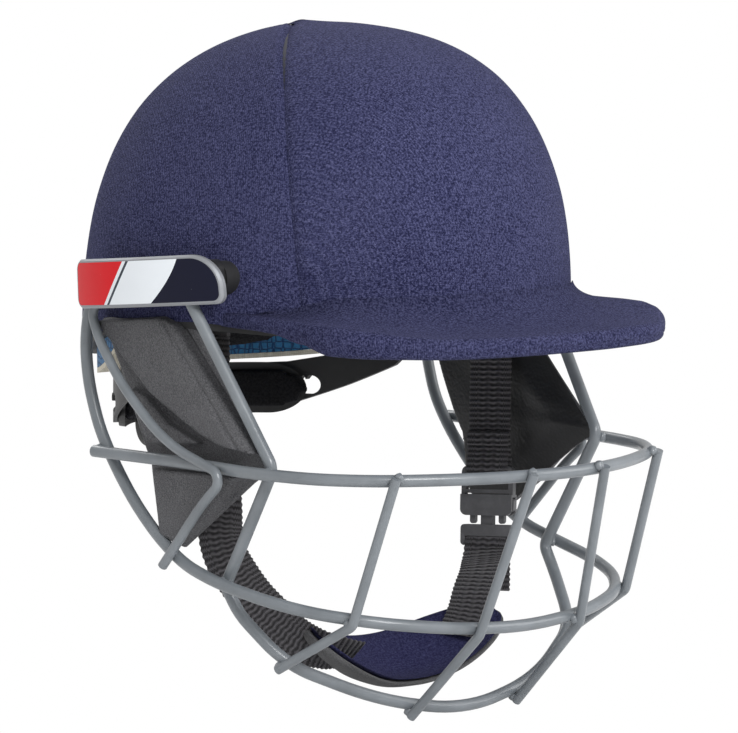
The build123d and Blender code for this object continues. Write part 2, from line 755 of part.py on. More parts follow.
# The buckle's own frame: x across the strap, y up it and z out of its face
buckle_centre = Vector(buckle_x, buckle_y, buckle_z)
left_tab_foot = Vector((tab_inner_x + tab_outer_x) / 2, strap_rivet_y, tab_low_z - layer_gap)
left_cup_end = Vector(cup_end_x, left_cup_end_y, left_cup_end_z)
up_strap = (left_tab_foot - buckle_centre).normalized()
across = (buckle_centre - left_cup_end).cross(up_strap).normalized()
across = across if across.Y < 0 else across * -1
buckle_plane = Plane(origin=buckle_centre, x_dir=across, z_dir=across.cross(up_strap))
strap_plane = Plane(origin=buckle_centre, x_dir=up_strap, z_dir=across)

# The buckle socket: a top bar for the webbing, a window and a hollow body open below
socket_height = socket_top - socket_bottom
with BuildPart() as buckle_socket:
    with BuildSketch(buckle_plane):
        with Locations((0, socket_bottom + socket_height / 2)):
            RectangleRounded(buckle_width, socket_height, buckle_corner)
    extrude(amount=buckle_thickness / 2, both=True)
    with BuildSketch(buckle_plane):
        with Locations((0, (socket_body_top + socket_top - socket_bar) / 2)):
            Rectangle(buckle_width - 2 * socket_rail, socket_top - socket_bar - socket_body_top)
    extrude(amount=buckle_thickness, both=True, mode=Mode.SUBTRACT)
    with BuildSketch(buckle_plane):
        with Locations((0, socket_bottom - overrun)):
            Rectangle(buckle_width - 2 * socket_wall, socket_body_top - socket_wall - socket_bottom + overrun,
                      align=(Align.CENTER, Align.MIN))
            Rectangle(buckle_width + overrun, socket_slot_top - socket_bottom + overrun,
                      align=(Align.CENTER, Align.MIN))
    extrude(amount=buckle_thickness / 2 - socket_wall, both=True, mode=Mode.SUBTRACT)
    for face_side in (1, -1):
        with BuildSketch(buckle_plane.offset(face_side * buckle_thickness / 2)):
            with Locations((0, (socket_body_top + socket_top) / 2 + buckle_play)):
                Rectangle(buckle_width + overrun, socket_top - socket_body_top + overrun)
        extrude(amount=-face_side * socket_wall, mode=Mode.SUBTRACT)
finish(buckle_socket, "buckle_socket")

# The buckle plug: a foot with a slot for the webbing and a central tongue
foot_bar_top = plug_foot + plug_bar
slot_top = foot_bar_top + slot_height
with BuildPart() as buckle_plug:
    with BuildSketch(buckle_plane):
        with Locations((0, (plug_foot + plug_shoulder) / 2)):
            RectangleRounded(buckle_width, plug_shoulder - plug_foot, plug_bar)
            with Locations((0, foot_bar_top + slot_height / 2 - (plug_foot + plug_shoulder) / 2)):
                Rectangle(web_width + 2 * buckle_play, slot_height, mode=Mode.SUBTRACT)
    extrude(amount=plug_thickness / 2, both=True)
    with BuildSketch(buckle_plane):
        with Locations((0, plug_shoulder - buckle_play)):
            Rectangle(tongue_width, tongue_top - plug_shoulder + buckle_play,
                      align=(Align.CENTER, Align.MIN))
    extrude(amount=prong_thickness / 2, both=True)
    for face_side in (1, -1):
        with BuildSketch(buckle_plane.offset(face_side * plug_thickness / 2)):
            with Locations((0, foot_bar_top - overrun)):
                Rectangle(web_width + 2 * buckle_play, overrun, align=(Align.CENTER, Align.MIN))
        extrude(amount=-face_side * (plug_thickness / 2 - plug_bar), mode=Mode.SUBTRACT)
finish(buckle_plug, "buckle_plug")

# The two prongs that are squeezed to free the buckle, each turning at its root
for name, sign in {"front": 1, "rear": -1}.items():
    with BuildPart() as prong:
        with BuildSketch(buckle_plane):
            with Locations((sign * prong_centre, prong_root)):
                Circle(prong_width / 2)
                Rectangle(prong_width, tongue_top - prong_root, align=(Align.CENTER, Align.MIN))
            with Locations((sign * (prong_centre + buckle_width / 2 - buckle_play) / 2,
                            socket_slot_top - 2 * buckle_play - grip_height / 2)):
                RectangleRounded(buckle_width / 2 - buckle_play - prong_centre + prong_width / 2,
                                 grip_height, prong_width / 2)
        extrude(amount=prong_thickness / 2, both=True)
    finish(prong, f"buckle_prong_{name}")

# The webbing of the wearer's left: an upper length looped on the socket, a lower one on the plug
with BuildPart() as upper_webbing:
    with BuildSketch(strap_plane):
        loop_top = socket_top + web_thickness + buckle_play
        loop_low = socket_top - socket_bar - web_thickness - buckle_play
        loop_half = buckle_thickness / 2 - socket_wall + web_thickness + buckle_play
        with Locations(((loop_top + loop_low) / 2, 0)):
            RectangleRounded(loop_top - loop_low, 2 * loop_half, web_thickness)
            Rectangle(loop_top - loop_low - 2 * web_thickness, 2 * (loop_half - web_thickness),
                      mode=Mode.SUBTRACT)
        length = (left_tab_foot - buckle_centre).length
        with Locations((loop_top - web_thickness * join_share, 0)):
            Rectangle(length - loop_top, web_thickness, align=(Align.MIN, Align.CENTER))
            Rectangle(web_stitch, 2 * loop_half - web_thickness, align=(Align.MIN, Align.CENTER))
    extrude(amount=web_width / 2, both=True)
finish(upper_webbing, "upper_webbing")

loop_side = plug_bar + web_thickness / 2 + buckle_play
loop_at = foot_bar_top + slot_height / 2
loop_bend = web_thickness * web_bend_share
lower_knee = strap_plane.to_local_coords(Vector(lower_knee_x, lower_knee_y, lower_knee_z))
lower_end = strap_plane.to_local_coords(left_cup_end)
lower_route = [(loop_at - web_tail, -loop_side), (loop_at, -loop_side), (loop_at, loop_side),
               (plug_foot - web_thickness, loop_side + buckle_play), (lower_knee.X, lower_knee.Y),
               (lower_end.X, lower_end.Y)]
with BuildPart() as lower_webbing:
    with BuildSketch(strap_plane):
        with BuildLine():
            FilletPolyline(*lower_route, radius=[loop_bend, loop_bend, web_thickness, web_bend])
        trace(line_width=web_thickness)
    extrude(amount=web_width / 2, both=True)
finish(lower_webbing, "lower_webbing")

# The webbing of the wearer's right, in one length from its tab to the cup
right_points = [Vector(-left_tab_foot.X, left_tab_foot.Y, left_tab_foot.Z)]
right_points += [Vector(x * cup_half_width, y * cup_half_width, z * cup_half_width)
                 for x, y, z in right_web_shares]
first_run = (right_points[1] - right_points[0])
right_across = first_run.cross(right_points[-1] - right_points[2]).normalized()
right_plane = Plane(origin=right_points[0], x_dir=first_run * -1, z_dir=right_across)
right_route = [right_plane.to_local_coords(point) for point in right_points]
with BuildPart() as right_webbing:
    with BuildSketch(right_plane):
        with BuildLine():
            route = [(point.X, point.Y) for point in right_route]
            FilletPolyline(*route, radius=bend_radii([(*point, 0) for point in route]))
        trace(line_width=web_thickness)
    extrude(amount=web_width / 2, both=True)
finish(right_webbing, "right_webbing")

# The chin cup: a boat of foam that hangs in the strap, with a cloth lining
cup_radius = (cup_half_width ** 2 + cup_sagitta ** 2) / (2 * cup_sagitta)
cup_plane = Plane(origin=(0, cup_y, cup_z), x_dir=(1, 0, 0),
                  z_dir=(0, -cos(radians(cup_tilt)), -sin(radians(cup_tilt))))


def cup_layer(inner_from, thickness, margin):
    """One layer of the cup, at a distance inside its outer face and short of its edge"""
    middle = cup_radius - inner_from - thickness / 2
    half_turn = degrees(asin((cup_half_width - margin) / cup_radius))
    with BuildPart() as layer:
        with BuildSketch(cup_plane):
            with BuildLine():
                CenterArc((0, cup_radius), middle, 270 - half_turn, 2 * half_turn)
            trace(line_width=thickness)
        extrude(amount=cup_depth, both=True)
        with BuildSketch(Plane(origin=cup_plane.origin, x_dir=cup_plane.x_dir, z_dir=cup_plane.y_dir)):
            Ellipse(cup_half_width + overrun - margin, cup_depth / 2 - margin)
        extrude(amount=2 * cup_half_width, both=True, mode=Mode.INTERSECT)
    return layer


cup_shell = cup_layer(0, cup_foam, 0)
finish(cup_shell, "chin_cup")
cup_cloth = cup_layer(cup_foam + layer_gap, cup_lining, cup_margin)
finish(cup_cloth, "chin_cup_lining")

# The nape adjuster: toothed straps riveted inside the shell and a cradle that slides on them
def ring(inset, thickness):
    """A band that follows the head's outline below the rim"""
    with BuildPart(mode=Mode.PRIVATE) as band:
        with BuildSketch(Plane.XY.offset(-far_out / 2)):
            Ellipse(nape_half_width - inset, nape_length - inset)
            Ellipse(nape_half_width - inset - thickness, nape_length - inset - thickness,
                    mode=Mode.SUBTRACT)
        extrude(amount=far_out)
    return band.part


strap_outline = [(y * nape_length, z * nape_length) for y, z in nape_strap_shares]
tooth_run = tooth_pitch * tooth_lean_share
slot_front = slot_front_share * nape_length
slot_top_z = slot_top_share * nape_length
with BuildPart() as strap_slot:
    with BuildSketch(Plane.YZ):
        with Locations((slot_front + slot_length / 2, slot_top_z - slot_opening / 2)):
            SlotOverall(slot_length, slot_opening)
        for i in range(tooth_count):
            at = slot_front + slot_opening / 2 + i * tooth_run
            Polygon((at, slot_top_z + tooth_depth * join_share), (at + tooth_run, slot_top_z + tooth_depth * join_share),
                    (at + tooth_run * tooth_tip_share, slot_top_z - tooth_depth), align=None, mode=Mode.SUBTRACT)
    extrude(amount=far_out)
with BuildPart() as nape_strap:
    add(ring(0, strap_thickness) & side_block(strap_outline, 0, far_out, 0, pad_corner))
    add(strap_slot.part, mode=Mode.SUBTRACT)
    add(lengthwise(*nape_rivet, rivet_radius + screw_play), mode=Mode.SUBTRACT)
finish_pair(nape_strap, "nape_strap")

with BuildPart() as nape_rivets:
    start = nape_half_width - strap_thickness - rivet_head
    add((lengthwise(*nape_rivet, rivet_radius) & dome_solid(shell_depth)) - side_block(side_frame, -far_out, start))
    with Locations(Plane(origin=(start - layer_gap - strap_thickness * join_share, *nape_rivet), z_dir=(-1, 0, 0))):
        Cylinder(rivet_radius * rivet_head_share, rivet_head,
                 align=(Align.CENTER, Align.CENTER, Align.MIN))
        Cylinder(rivet_radius, 2 * rivet_head, align=(Align.CENTER, Align.CENTER, Align.CENTER))
finish_pair(nape_rivets, "nape_rivet")

cradle_inset = strap_thickness + nape_gap


def cradle_layer(inset, thickness, margin, crest):
    """One layer of the cradle: a band behind the head with rounded arms and a deeper middle"""
    with BuildPart() as layer:
        with BuildSketch(Plane.XZ):
            with Locations((0, cradle_low_z + cradle_arm_height / 2)):
                SlotOverall(2 * (cradle_half_width - margin), cradle_arm_height - 2 * margin)
            with Locations((0, cradle_low_z + margin - crest)):
                RectangleRounded(cradle_crest_width - 2 * margin, cradle_arm_height + crest - 2 * margin,
                                 cradle_crest - margin, align=(Align.CENTER, Align.MIN))
        extrude(amount=-far_out)
        add(ring(inset, thickness), mode=Mode.INTERSECT)
    return layer


nape_cradle = cradle_layer(cradle_inset, cradle_thickness, 0, cradle_crest)
finish(nape_cradle, "nape_cradle")
nape_pad_block = cradle_layer(cradle_inset + cradle_thickness + layer_gap, nape_pad, cradle_margin, cradle_crest)
finish(nape_pad_block, "nape_pad")

peg_x = cradle_half_width - cradle_arm_height / 2
peg_y = (nape_length - cradle_inset) * (1 - (peg_x / (nape_half_width - cradle_inset)) ** 2) ** 0.5
peg_out = Vector(peg_x / nape_half_width ** 2, peg_y / nape_length ** 2, 0).normalized()
with BuildPart() as cradle_peg:
    with Locations(Plane(origin=(peg_x, peg_y, slot_top_z - slot_opening / 2), z_dir=peg_out)):
        Cylinder(peg_radius, strap_thickness + nape_gap + rivet_head,
                 align=(Align.CENTER, Align.CENTER, Align.MIN))
    add(nape_cradle.part, mode=Mode.SUBTRACT)
finish_pair(cradle_peg, "cradle_peg")
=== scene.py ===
# %% [markdown]
# # A cricket helmet, dressed over its CAD frame
# This notebook dresses a measured model of a batting helmet: a knitted cloth cover over a hard
# shell, a wire guard dipped in grey plastic, foam ear pads, ribbed webbing with a buckle, and a
# chin cup. The measured model is loaded first and stays where it is, so every new piece can be
# placed straight from its numbers. All lengths in the helpers are millimetres, turned to metres
# at the last moment.

# %% Load the measured model
from math import atan2, cos, exp, hypot, pi, radians, sin, sqrt
import bpy
from mathutils import Matrix, Vector, noise
from mathutils.kdtree import KDTree


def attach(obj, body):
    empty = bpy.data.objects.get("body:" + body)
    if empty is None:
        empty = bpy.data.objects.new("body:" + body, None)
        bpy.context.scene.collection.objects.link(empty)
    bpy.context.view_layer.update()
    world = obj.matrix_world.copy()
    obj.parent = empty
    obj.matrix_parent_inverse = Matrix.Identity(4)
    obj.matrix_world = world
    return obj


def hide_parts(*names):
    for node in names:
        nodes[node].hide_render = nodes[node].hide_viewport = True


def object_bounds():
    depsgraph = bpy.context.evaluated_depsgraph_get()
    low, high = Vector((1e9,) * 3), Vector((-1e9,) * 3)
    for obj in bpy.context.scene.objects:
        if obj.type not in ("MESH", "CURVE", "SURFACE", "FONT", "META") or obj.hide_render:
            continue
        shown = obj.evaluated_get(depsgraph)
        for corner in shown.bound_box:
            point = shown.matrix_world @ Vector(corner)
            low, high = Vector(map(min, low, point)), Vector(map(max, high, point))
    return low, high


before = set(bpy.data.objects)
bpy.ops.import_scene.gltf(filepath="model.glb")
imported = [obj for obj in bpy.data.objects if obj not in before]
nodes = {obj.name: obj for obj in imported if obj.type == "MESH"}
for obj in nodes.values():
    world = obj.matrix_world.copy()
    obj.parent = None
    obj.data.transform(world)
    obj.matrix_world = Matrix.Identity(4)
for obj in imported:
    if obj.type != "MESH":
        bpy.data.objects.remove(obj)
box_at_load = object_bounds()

MM = 0.001
scene = bpy.context.scene
print(len(nodes), "pieces, box", [round(c, 4) for corner in box_at_load for c in corner])

# %% [markdown]
# ## The camera
# The photograph was taken from far away with a long lens, so the helmet shows almost no
# perspective. The camera's place was worked out beforehand from the guard, whose two halves
# mirror each other. A long lens is a large number of millimetres on a 36 mm sensor.

# %% Place the camera
LENS_MM, SENSOR_MM, FAR_METRES = 244.8, 36, 20
camera_place = Vector((-1.5278, -1.6924, 0.2159))
turn, rise, roll = radians(-42.563), radians(6.066), radians(0.399)
back = Vector((sin(turn) * cos(rise), -cos(turn) * cos(rise), sin(rise)))
right = Vector((cos(turn), sin(turn), 0))
up = back.cross(right)
right, up = (cos(roll) * right + sin(roll) * up, cos(roll) * up - sin(roll) * right)
lens = bpy.data.cameras.new("photo_camera")
lens.lens, lens.sensor_width, lens.clip_end = LENS_MM, SENSOR_MM, FAR_METRES
camera = bpy.data.objects.new("photo_camera", lens)
scene.collection.objects.link(camera)
camera.matrix_world = Matrix.Translation(camera_place) @ Matrix((right, up, back)).transposed().to_4x4()
scene.camera = camera
print("camera is", round(camera_place.length, 3), "m away with a", lens.lens, "mm lens")

# %% [markdown]
# ## Shader maths in plain Python
# A procedural material is a sum of small sums: a wave here, some noise there. `Value` wraps a
# socket and lets Python's own signs add the Math nodes. `Finish` wraps one material: it owns the
# Principled shader, and its `node` method adds every other kind of node.

# %% A number that changes over a surface
class Value:
    def __init__(self, finish, socket):
        self.finish, self.socket = finish, socket

    def maths(self, operation, *others, clamp=False):
        node = self.finish.tree.nodes.new("ShaderNodeMath")
        node.operation, node.use_clamp = operation, clamp
        for slot, given in zip(node.inputs, (self, *others)):
            self.finish.feed(slot, given)
        return Value(self.finish, node.outputs[0])

    def __add__(self, other): return self.maths("ADD", other)
    def __radd__(self, other): return self.maths("ADD", other)
    def __sub__(self, other): return self.maths("SUBTRACT", other)
    def __rsub__(self, other): return (self * -1) + other
    def __mul__(self, other): return self.maths("MULTIPLY", other)
    def __pow__(self, other): return self.maths("POWER", other)
    def above(self, other): return self.maths("GREATER_THAN", other)
    def below(self, other): return self.maths("LESS_THAN", other)
    def most(self, other): return self.maths("MAXIMUM", other)
    def size(self): return self.maths("ABSOLUTE")
    def root(self): return self.maths("SQRT")
    def wave(self): return self.maths("SINE")

    def ramp(self, low, high):
        """0 under low, 1 over high, straight between"""
        return ((self - low) * (1 / (high - low))).maths("ADD", 0.0, clamp=True)


# %% A material under construction
def opaque(colour):
    """Red, green and blue get a fourth number, 1; a socket stays as it is"""
    return (*colour, 1.0) if isinstance(colour, tuple) else colour


class Finish:
    def __init__(self, name, **fixed):
        self.material = bpy.data.materials.new(name)
        self.material.use_nodes = True
        self.tree = self.material.node_tree
        self.shader = self.tree.nodes["Principled BSDF"]
        for socket, number in fixed.items():
            self.shader.inputs[socket.replace("_", " ")].default_value = number

    def feed(self, slot, given):
        if isinstance(given, Value):
            self.tree.links.new(given.socket, slot)
        elif isinstance(given, bpy.types.NodeSocket):
            self.tree.links.new(given, slot)
        else:
            slot.default_value = given

    def node(self, kind, settings=None, **sockets):
        made = self.tree.nodes.new("ShaderNode" + kind)
        for key, setting in (settings or {}).items():
            setattr(made, key, setting)
        for key, given in sockets.items():
            self.feed(made.inputs[key.replace("_", " ")], given)
        return made

    def place(self, kind="Object"):
        """The object's own coordinates, or another kind of coordinates, in millimetres"""
        spot = self.node("TexCoord").outputs[kind]
        return self.node("VectorMath", {"operation": "SCALE"}, Vector=spot, Scale=1 / MM).outputs["Vector"]

    def cloth_place(self):
        """The piece's own UV map, in millimetres, in which a weave follows the surface"""
        return self.place("UV")

    def axes(self, spot):
        parts = self.node("SeparateXYZ", Vector=spot)
        return [Value(self, parts.outputs[i]) for i in range(3)]

    def noise(self, spot, scale, detail=2.0, roughness=0.5):
        made = self.node("TexNoise", Vector=spot, Scale=scale, Detail=detail, Roughness=roughness)
        return Value(self, made.outputs["Fac"])

    def cells(self, spot, scale, feature="F1", **more):
        made = self.node("TexVoronoi", {"feature": feature}, Vector=spot, Scale=scale, **more)
        return Value(self, made.outputs["Distance"])

    def mix(self, share, first, second):
        made = self.node("Mix", {"data_type": "RGBA"})
        self.feed(made.inputs[0], share)
        for slot, colour in ((made.inputs[6], first), (made.inputs[7], second)):
            self.feed(slot, opaque(colour))
        return made.outputs[2]

    def colour(self, given):
        self.feed(self.shader.inputs["Base Color"], opaque(given))

    def rough(self, given):
        self.feed(self.shader.inputs["Roughness"], given)

    def bump(self, height, depth):
        """A bump of so many millimetres for a height of 1"""
        made = self.node("Bump", Height=height, Distance=depth * MM, Strength=1.0)
        self.feed(self.shader.inputs["Normal"], made.outputs["Normal"])


print("shader tools ready")

# %% [markdown]
# ## The knitted cloth
# The cover is a fine navy jersey: tiny loops in columns, with a dry heathered grain of lighter
# and darker threads. The loops are two crossed waves on the cloth's own UV map, so that they
# follow the cloth, and the heather is a fine noise that also nudges the bump.

# %% Knit
def knit(name, base, light, dark, wale=0.95, course=0.8):
    """Jersey in three tones, with its columns wale and its rows course millimetres apart"""
    cloth = Finish(name, Sheen_Weight=0.03, Sheen_Roughness=0.5, Specular_IOR_Level=0.1)
    cloth.shader.inputs["Sheen Tint"].default_value = (0.62, 0.64, 0.95, 1.0)
    across, along, _ = cloth.axes(cloth.cloth_place())
    solid = cloth.place()
    columns = (across * (2 * pi / wale)).wave()
    loops = columns * 0.5 + (along * (2 * pi / course) + columns * 1.2).wave() * 0.5
    heather = cloth.noise(solid, 1.1, 2.0, 0.6)
    grain = cloth.noise(solid, 2.2, 1.0)
    cloudy = cloth.noise(solid, 0.018, 3.0)
    body = cloth.mix(heather.ramp(0.3, 0.6), dark, base)
    body = cloth.mix((loops * 0.5 + 0.5) * heather.ramp(0.42, 0.7) * 0.75, body, light)
    body = cloth.mix(cloudy.ramp(0.35, 0.7) * 0.06, body, light)
    cloth.colour(body)
    cloth.rough(0.86 + heather * 0.1)
    cloth.bump(loops * 0.6 + heather * 1.6 + grain * 0.7, 0.2)
    return cloth.material


navy_knit = knit("navy_knit", (0.034, 0.037, 0.1), (0.15, 0.155, 0.29), (0.008, 0.009, 0.034))
print("cloth:", navy_knit.name)

# %% [markdown]
# ## Metal, plastic, rubber and foam
# The guard is steel wire dipped in grey plastic: glossy, with a very slight orange peel and
# broad patches that are a little fuller and duller. The ear pads are moulded foam with a skin like fine sand.
# The mouldings are plain black plastic with a spark-eroded grain. The plates on the sides are a
# printed film under gloss, with a silver edge where the plate is bevelled.

# %% Dipped wire
def dipped_wire():
    coat = Finish("grey_dip", Coat_Weight=0.35, Coat_Roughness=0.12)
    spot = coat.place()
    peel = coat.noise(spot, 0.35, 2.0)
    mottled = coat.noise(spot, 0.06, 3.0)
    specks = coat.cells(spot, 0.22).below(0.07)
    tone = coat.mix(mottled.ramp(0.3, 0.7), (0.155, 0.172, 0.188), (0.205, 0.225, 0.245))
    coat.colour(coat.mix(specks * 0.25, tone, (0.09, 0.1, 0.11)))
    coat.rough(0.3 + mottled * 0.16)
    coat.bump(peel + mottled * 2.0, 0.12)
    return coat.material


# %% Moulded foam
def moulded_foam(name, base, pale, gloss=0.5):
    foam = Finish(name, Specular_IOR_Level=0.35, Sheen_Weight=0.1)
    spot = foam.place()
    sand = foam.noise(spot, 1.6, 2.0, 0.7)
    flecks = foam.cells(spot, 0.9).ramp(0.0, 0.45)
    cloudy = foam.noise(spot, 0.03, 3.0)
    tone = foam.mix(sand.ramp(0.4, 0.66), base, pale)
    foam.colour(foam.mix(cloudy.ramp(0.4, 0.7) * 0.3, tone, pale))
    foam.rough(gloss + sand * 0.2)
    foam.bump(sand * 1.8 + flecks * 1.0, 0.3)
    return foam.material


# %% Leather-like lining
def smooth_lining(name, base, pale):
    skin = Finish(name, Specular_IOR_Level=0.45)
    spot = skin.place()
    pebbles = skin.cells(spot, 0.75, "SMOOTH_F1")
    worn = skin.noise(spot, 0.04, 3.0)
    skin.colour(skin.mix(worn.ramp(0.4, 0.75) * 0.6, base, pale))
    skin.rough(0.44 + worn * 0.15)
    skin.bump(pebbles * 0.8 + worn, 0.25)
    return skin.material


# %% Black mouldings
def moulded_plastic(name, base, gloss=0.38):
    plastic = Finish(name, Specular_IOR_Level=0.45)
    spot = plastic.place()
    spark = plastic.noise(spot, 2.6, 1.0)
    rubbed = plastic.noise(spot, 0.09, 4.0, 0.65)
    pale = tuple(c * 1.9 + 0.004 for c in base)
    plastic.colour(plastic.mix(rubbed.ramp(0.5, 0.75) * 0.5, base, pale))
    plastic.rough(gloss + rubbed * 0.18)
    plastic.bump(spark + rubbed * 0.5, 0.05)
    return plastic.material


# %% Zinc-plated steel
def plated_steel():
    steel = Finish("plated_steel", Metallic=1.0)
    spot = steel.place()
    clouds = steel.noise(spot, 0.4, 3.0)
    turned = steel.noise(spot, 3.0, 1.0)
    steel.colour(steel.mix(clouds, (0.5, 0.5, 0.52), (0.7, 0.69, 0.66)))
    steel.rough(0.24 + clouds * 0.2)
    steel.bump(turned, 0.03)
    return steel.material


wire_coat = dipped_wire()
pad_foam = moulded_foam("charcoal_foam", (0.045, 0.045, 0.05), (0.15, 0.15, 0.16), 0.42)
pad_lining = smooth_lining("black_lining", (0.012, 0.012, 0.013), (0.03, 0.03, 0.032))
black_moulding = moulded_plastic("black_moulding", (0.012, 0.012, 0.013))
buckle_moulding = moulded_plastic("buckle_moulding", (0.082, 0.082, 0.088), 0.34)
shell_moulding = moulded_plastic("shell_moulding", (0.007, 0.008, 0.02), 0.55)
ribbed_rubber = moulded_plastic("black_rubber", (0.016, 0.016, 0.017), 0.5)
steel = plated_steel()
print("hard finishes:", len(bpy.data.materials))

# %% [markdown]
# ## Webbing
# The straps are woven ribs: thick cross threads every 2.4 mm with fine long threads over them.
# The ribs are real shape, and the fine threads are bump on the UV map, which runs along the strap.

# %% Ribbed webbing
RIB, THREAD = 2.4, 0.62


def ribbed_webbing(name, base, pale):
    web = Finish(name, Specular_IOR_Level=0.3, Sheen_Weight=0.12)
    across, along, _ = web.axes(web.cloth_place())
    solid = web.place()
    ribs = (along * (2 * pi / RIB)).wave() * 0.5 + 0.5
    threads = (across * (2 * pi / THREAD)).wave() * 0.5 + 0.5
    shifted = (along * (2 * pi / RIB) + (across * (pi / THREAD)).wave() * 0.9).wave() * 0.5 + 0.5
    fuzz = web.noise(solid, 1.4, 3.0, 0.7)
    web.colour(web.mix((shifted * 0.5 + threads * 0.1 + fuzz * 0.4).ramp(0.3, 0.9), base, pale))
    web.rough(0.62 + fuzz * 0.2)
    web.bump(ribs * 1.5 + threads * shifted * 0.25 + fuzz * 0.4, 0.4)
    return web.material


webbing_finish = ribbed_webbing("black_webbing", (0.016, 0.015, 0.017), (0.12, 0.115, 0.125))
print("webbing with a rib every", RIB, "mm")

# %% [markdown]
# ## The side plates' print
# Each plate carries plain slanted blocks of colour: red at the back, a thin grey line, white,
# then navy with a curved edge. The plate leans a few degrees, so the blocks are laid out on
# coordinates turned with it, `rear` to `nose`. A thin silver band follows the plate's outline
# where its edge is bevelled, found from the distance to a rounded rectangle.

# %% Printed film with a silver edge
PLATE_LEAN, PLATE_Y, PLATE_Z = radians(5.4), -1.2, 18.5
PLATE_HALF_LONG, PLATE_HALF_TALL, PLATE_CORNER = 47.75, 11.0, 4.5
PLATE_NOSE, SILVER_BAND = 15.0, 1.5


def dark_share(film, blocks):
    """How dark a colour is, from 0 to 1"""
    return 1 - Value(film, film.node("RGBToBW", Color=blocks).outputs[0]).ramp(0.02, 0.3)


def plate_edge(nose, rise):
    """How far outside the plate's outline a place is: a rounded rectangle with one rounder end"""
    side = nose.size() - PLATE_HALF_LONG + PLATE_CORNER
    tall = rise.size() - PLATE_HALF_TALL + PLATE_CORNER
    edge = (side.most(0.0) ** 2.0 + tall.most(0.0) ** 2.0).root() - PLATE_CORNER
    ahead = nose - (PLATE_HALF_LONG - PLATE_NOSE)
    above = rise - (PLATE_HALF_TALL - PLATE_NOSE)
    return edge.most((ahead.most(0.0) ** 2.0 + above.most(0.0) ** 2.0).root() - PLATE_NOSE)


def printed_plate():
    film = Finish("printed_plate", Specular_IOR_Level=0.2, Coat_Weight=0.05, Coat_Roughness=0.1)
    _, y, z = film.axes(film.place())
    nose = (y - PLATE_Y) * -cos(PLATE_LEAN) + (z - PLATE_Z) * sin(PLATE_LEAN)
    rise = (y - PLATE_Y) * sin(PLATE_LEAN) + (z - PLATE_Z) * cos(PLATE_LEAN)
    slanted = nose + rise * -0.81
    red, white = (0.72, 0.003, 0.01), (0.84, 0.88, 0.92)
    grey, dark = (0.045, 0.052, 0.07), (0.005, 0.006, 0.02)
    blocks = film.mix(slanted.above(-14.6), red, white)
    blocks = film.mix(slanted.above(-12.2) * slanted.below(-10.4), blocks, grey)
    curve = nose + rise * rise * 0.021 - rise * 0.86
    blocks = film.mix(curve.above(20.3), blocks, dark)
    rim = plate_edge(nose, rise).above(-SILVER_BAND)
    clouds = film.noise(film.place(), 0.05, 3.0)
    dust = film.cells(film.place(), 0.3).below(0.05) * dark_share(film, blocks)
    blocks = film.mix(dust * 0.35, blocks, (0.4, 0.42, 0.45))
    film.colour(film.mix(rim, blocks, (0.3, 0.31, 0.33)))
    film.rough(0.16 + clouds * 0.1 + rim * 0.22)
    film.feed(film.shader.inputs["Metallic"], rim * 0.45)
    film.bump(clouds + rim * 0.3, 0.12)
    return film.material


plate_print = printed_plate()
print("plate film:", len(plate_print.node_tree.nodes), "nodes")

# %% [markdown]
# ## The liner's foam and tape
# The liner is bright blue foam with a pressed honeycomb, edged by a pale woven tape. The
# honeycomb is a Voronoi pattern's distance to the nearest cell edge, with painted shade in its grooves.

# %% Blue foam
def honeycomb_foam(name, base, groove_shade):
    foam = Finish(name, Specular_IOR_Level=0.3, Sheen_Weight=0.2)
    spot = foam.place()
    wall = foam.cells(spot, 0.33, "DISTANCE_TO_EDGE", Randomness=0.3).ramp(0.02, 0.12)
    pores = foam.noise(spot, 1.8, 2.0)
    # painted shade: the grooves between the cells are coloured a darker blue than the cell tops
    foam.colour(foam.mix(wall * (0.7 + pores * 0.3), groove_shade, base))
    foam.rough(0.65 + pores * 0.2)
    foam.bump(wall * 1.2 + pores * 0.4, 0.6)
    return foam.material


blue_foam = honeycomb_foam("blue_foam", (0.04, 0.2, 0.42), (0.012, 0.07, 0.2))


# %% Pale tape, and the other soft finishes
def woven_tape():
    tape = Finish("pale_tape", Specular_IOR_Level=0.25)
    spot = tape.place()
    x, y, _ = tape.axes(spot)
    weave = (x * 5.2).wave() * (y * 5.2).wave() * 0.5 + 0.5
    worn = tape.noise(spot, 0.12, 3.0)
    tape.colour(tape.mix(weave * 0.5 + worn * 0.5, (0.5, 0.46, 0.36), (0.78, 0.74, 0.64)))
    tape.rough(0.75 + worn * 0.1)
    tape.bump(weave + worn * 0.5, 0.25)
    return tape.material


tape_finish = woven_tape()
cup_finish = moulded_foam("cup_foam_grey", (0.06, 0.06, 0.062), (0.12, 0.12, 0.125), 0.7)
lining_knit = knit("lining_knit", (0.033, 0.034, 0.1), (0.09, 0.09, 0.19), (0.014, 0.014, 0.05), 0.5, 0.5)
pad_cloth = knit("pad_cloth", (0.02, 0.02, 0.022), (0.05, 0.05, 0.053), (0.01, 0.01, 0.011), 0.7, 0.7)
nape_cloth = knit("nape_cloth", (0.012, 0.012, 0.013), (0.03, 0.03, 0.032), (0.006, 0.006, 0.007), 0.6, 0.6)
print("soft finishes ready,", len(bpy.data.materials), "materials")

# %% [markdown]
# ## Small helpers for modelling
# Operators act on what is selected, and the measured model arrives selected, so every new piece
# starts from an empty selection. A finished piece sits at the origin with its place in its mesh,
# rides on a body, and may stand for pieces of the measured model.

# %% Selecting and editing
def nothing_selected():
    if bpy.context.object and bpy.context.object.mode != "OBJECT":
        bpy.ops.object.mode_set(mode="OBJECT")
    bpy.ops.object.select_all(action="DESELECT")


def added(operator, **settings):
    """A new object from an operator that adds one"""
    nothing_selected()
    operator(**settings)
    return bpy.context.object


def only(piece):
    nothing_selected()
    piece.select_set(True)
    bpy.context.view_layer.objects.active = piece
    return piece


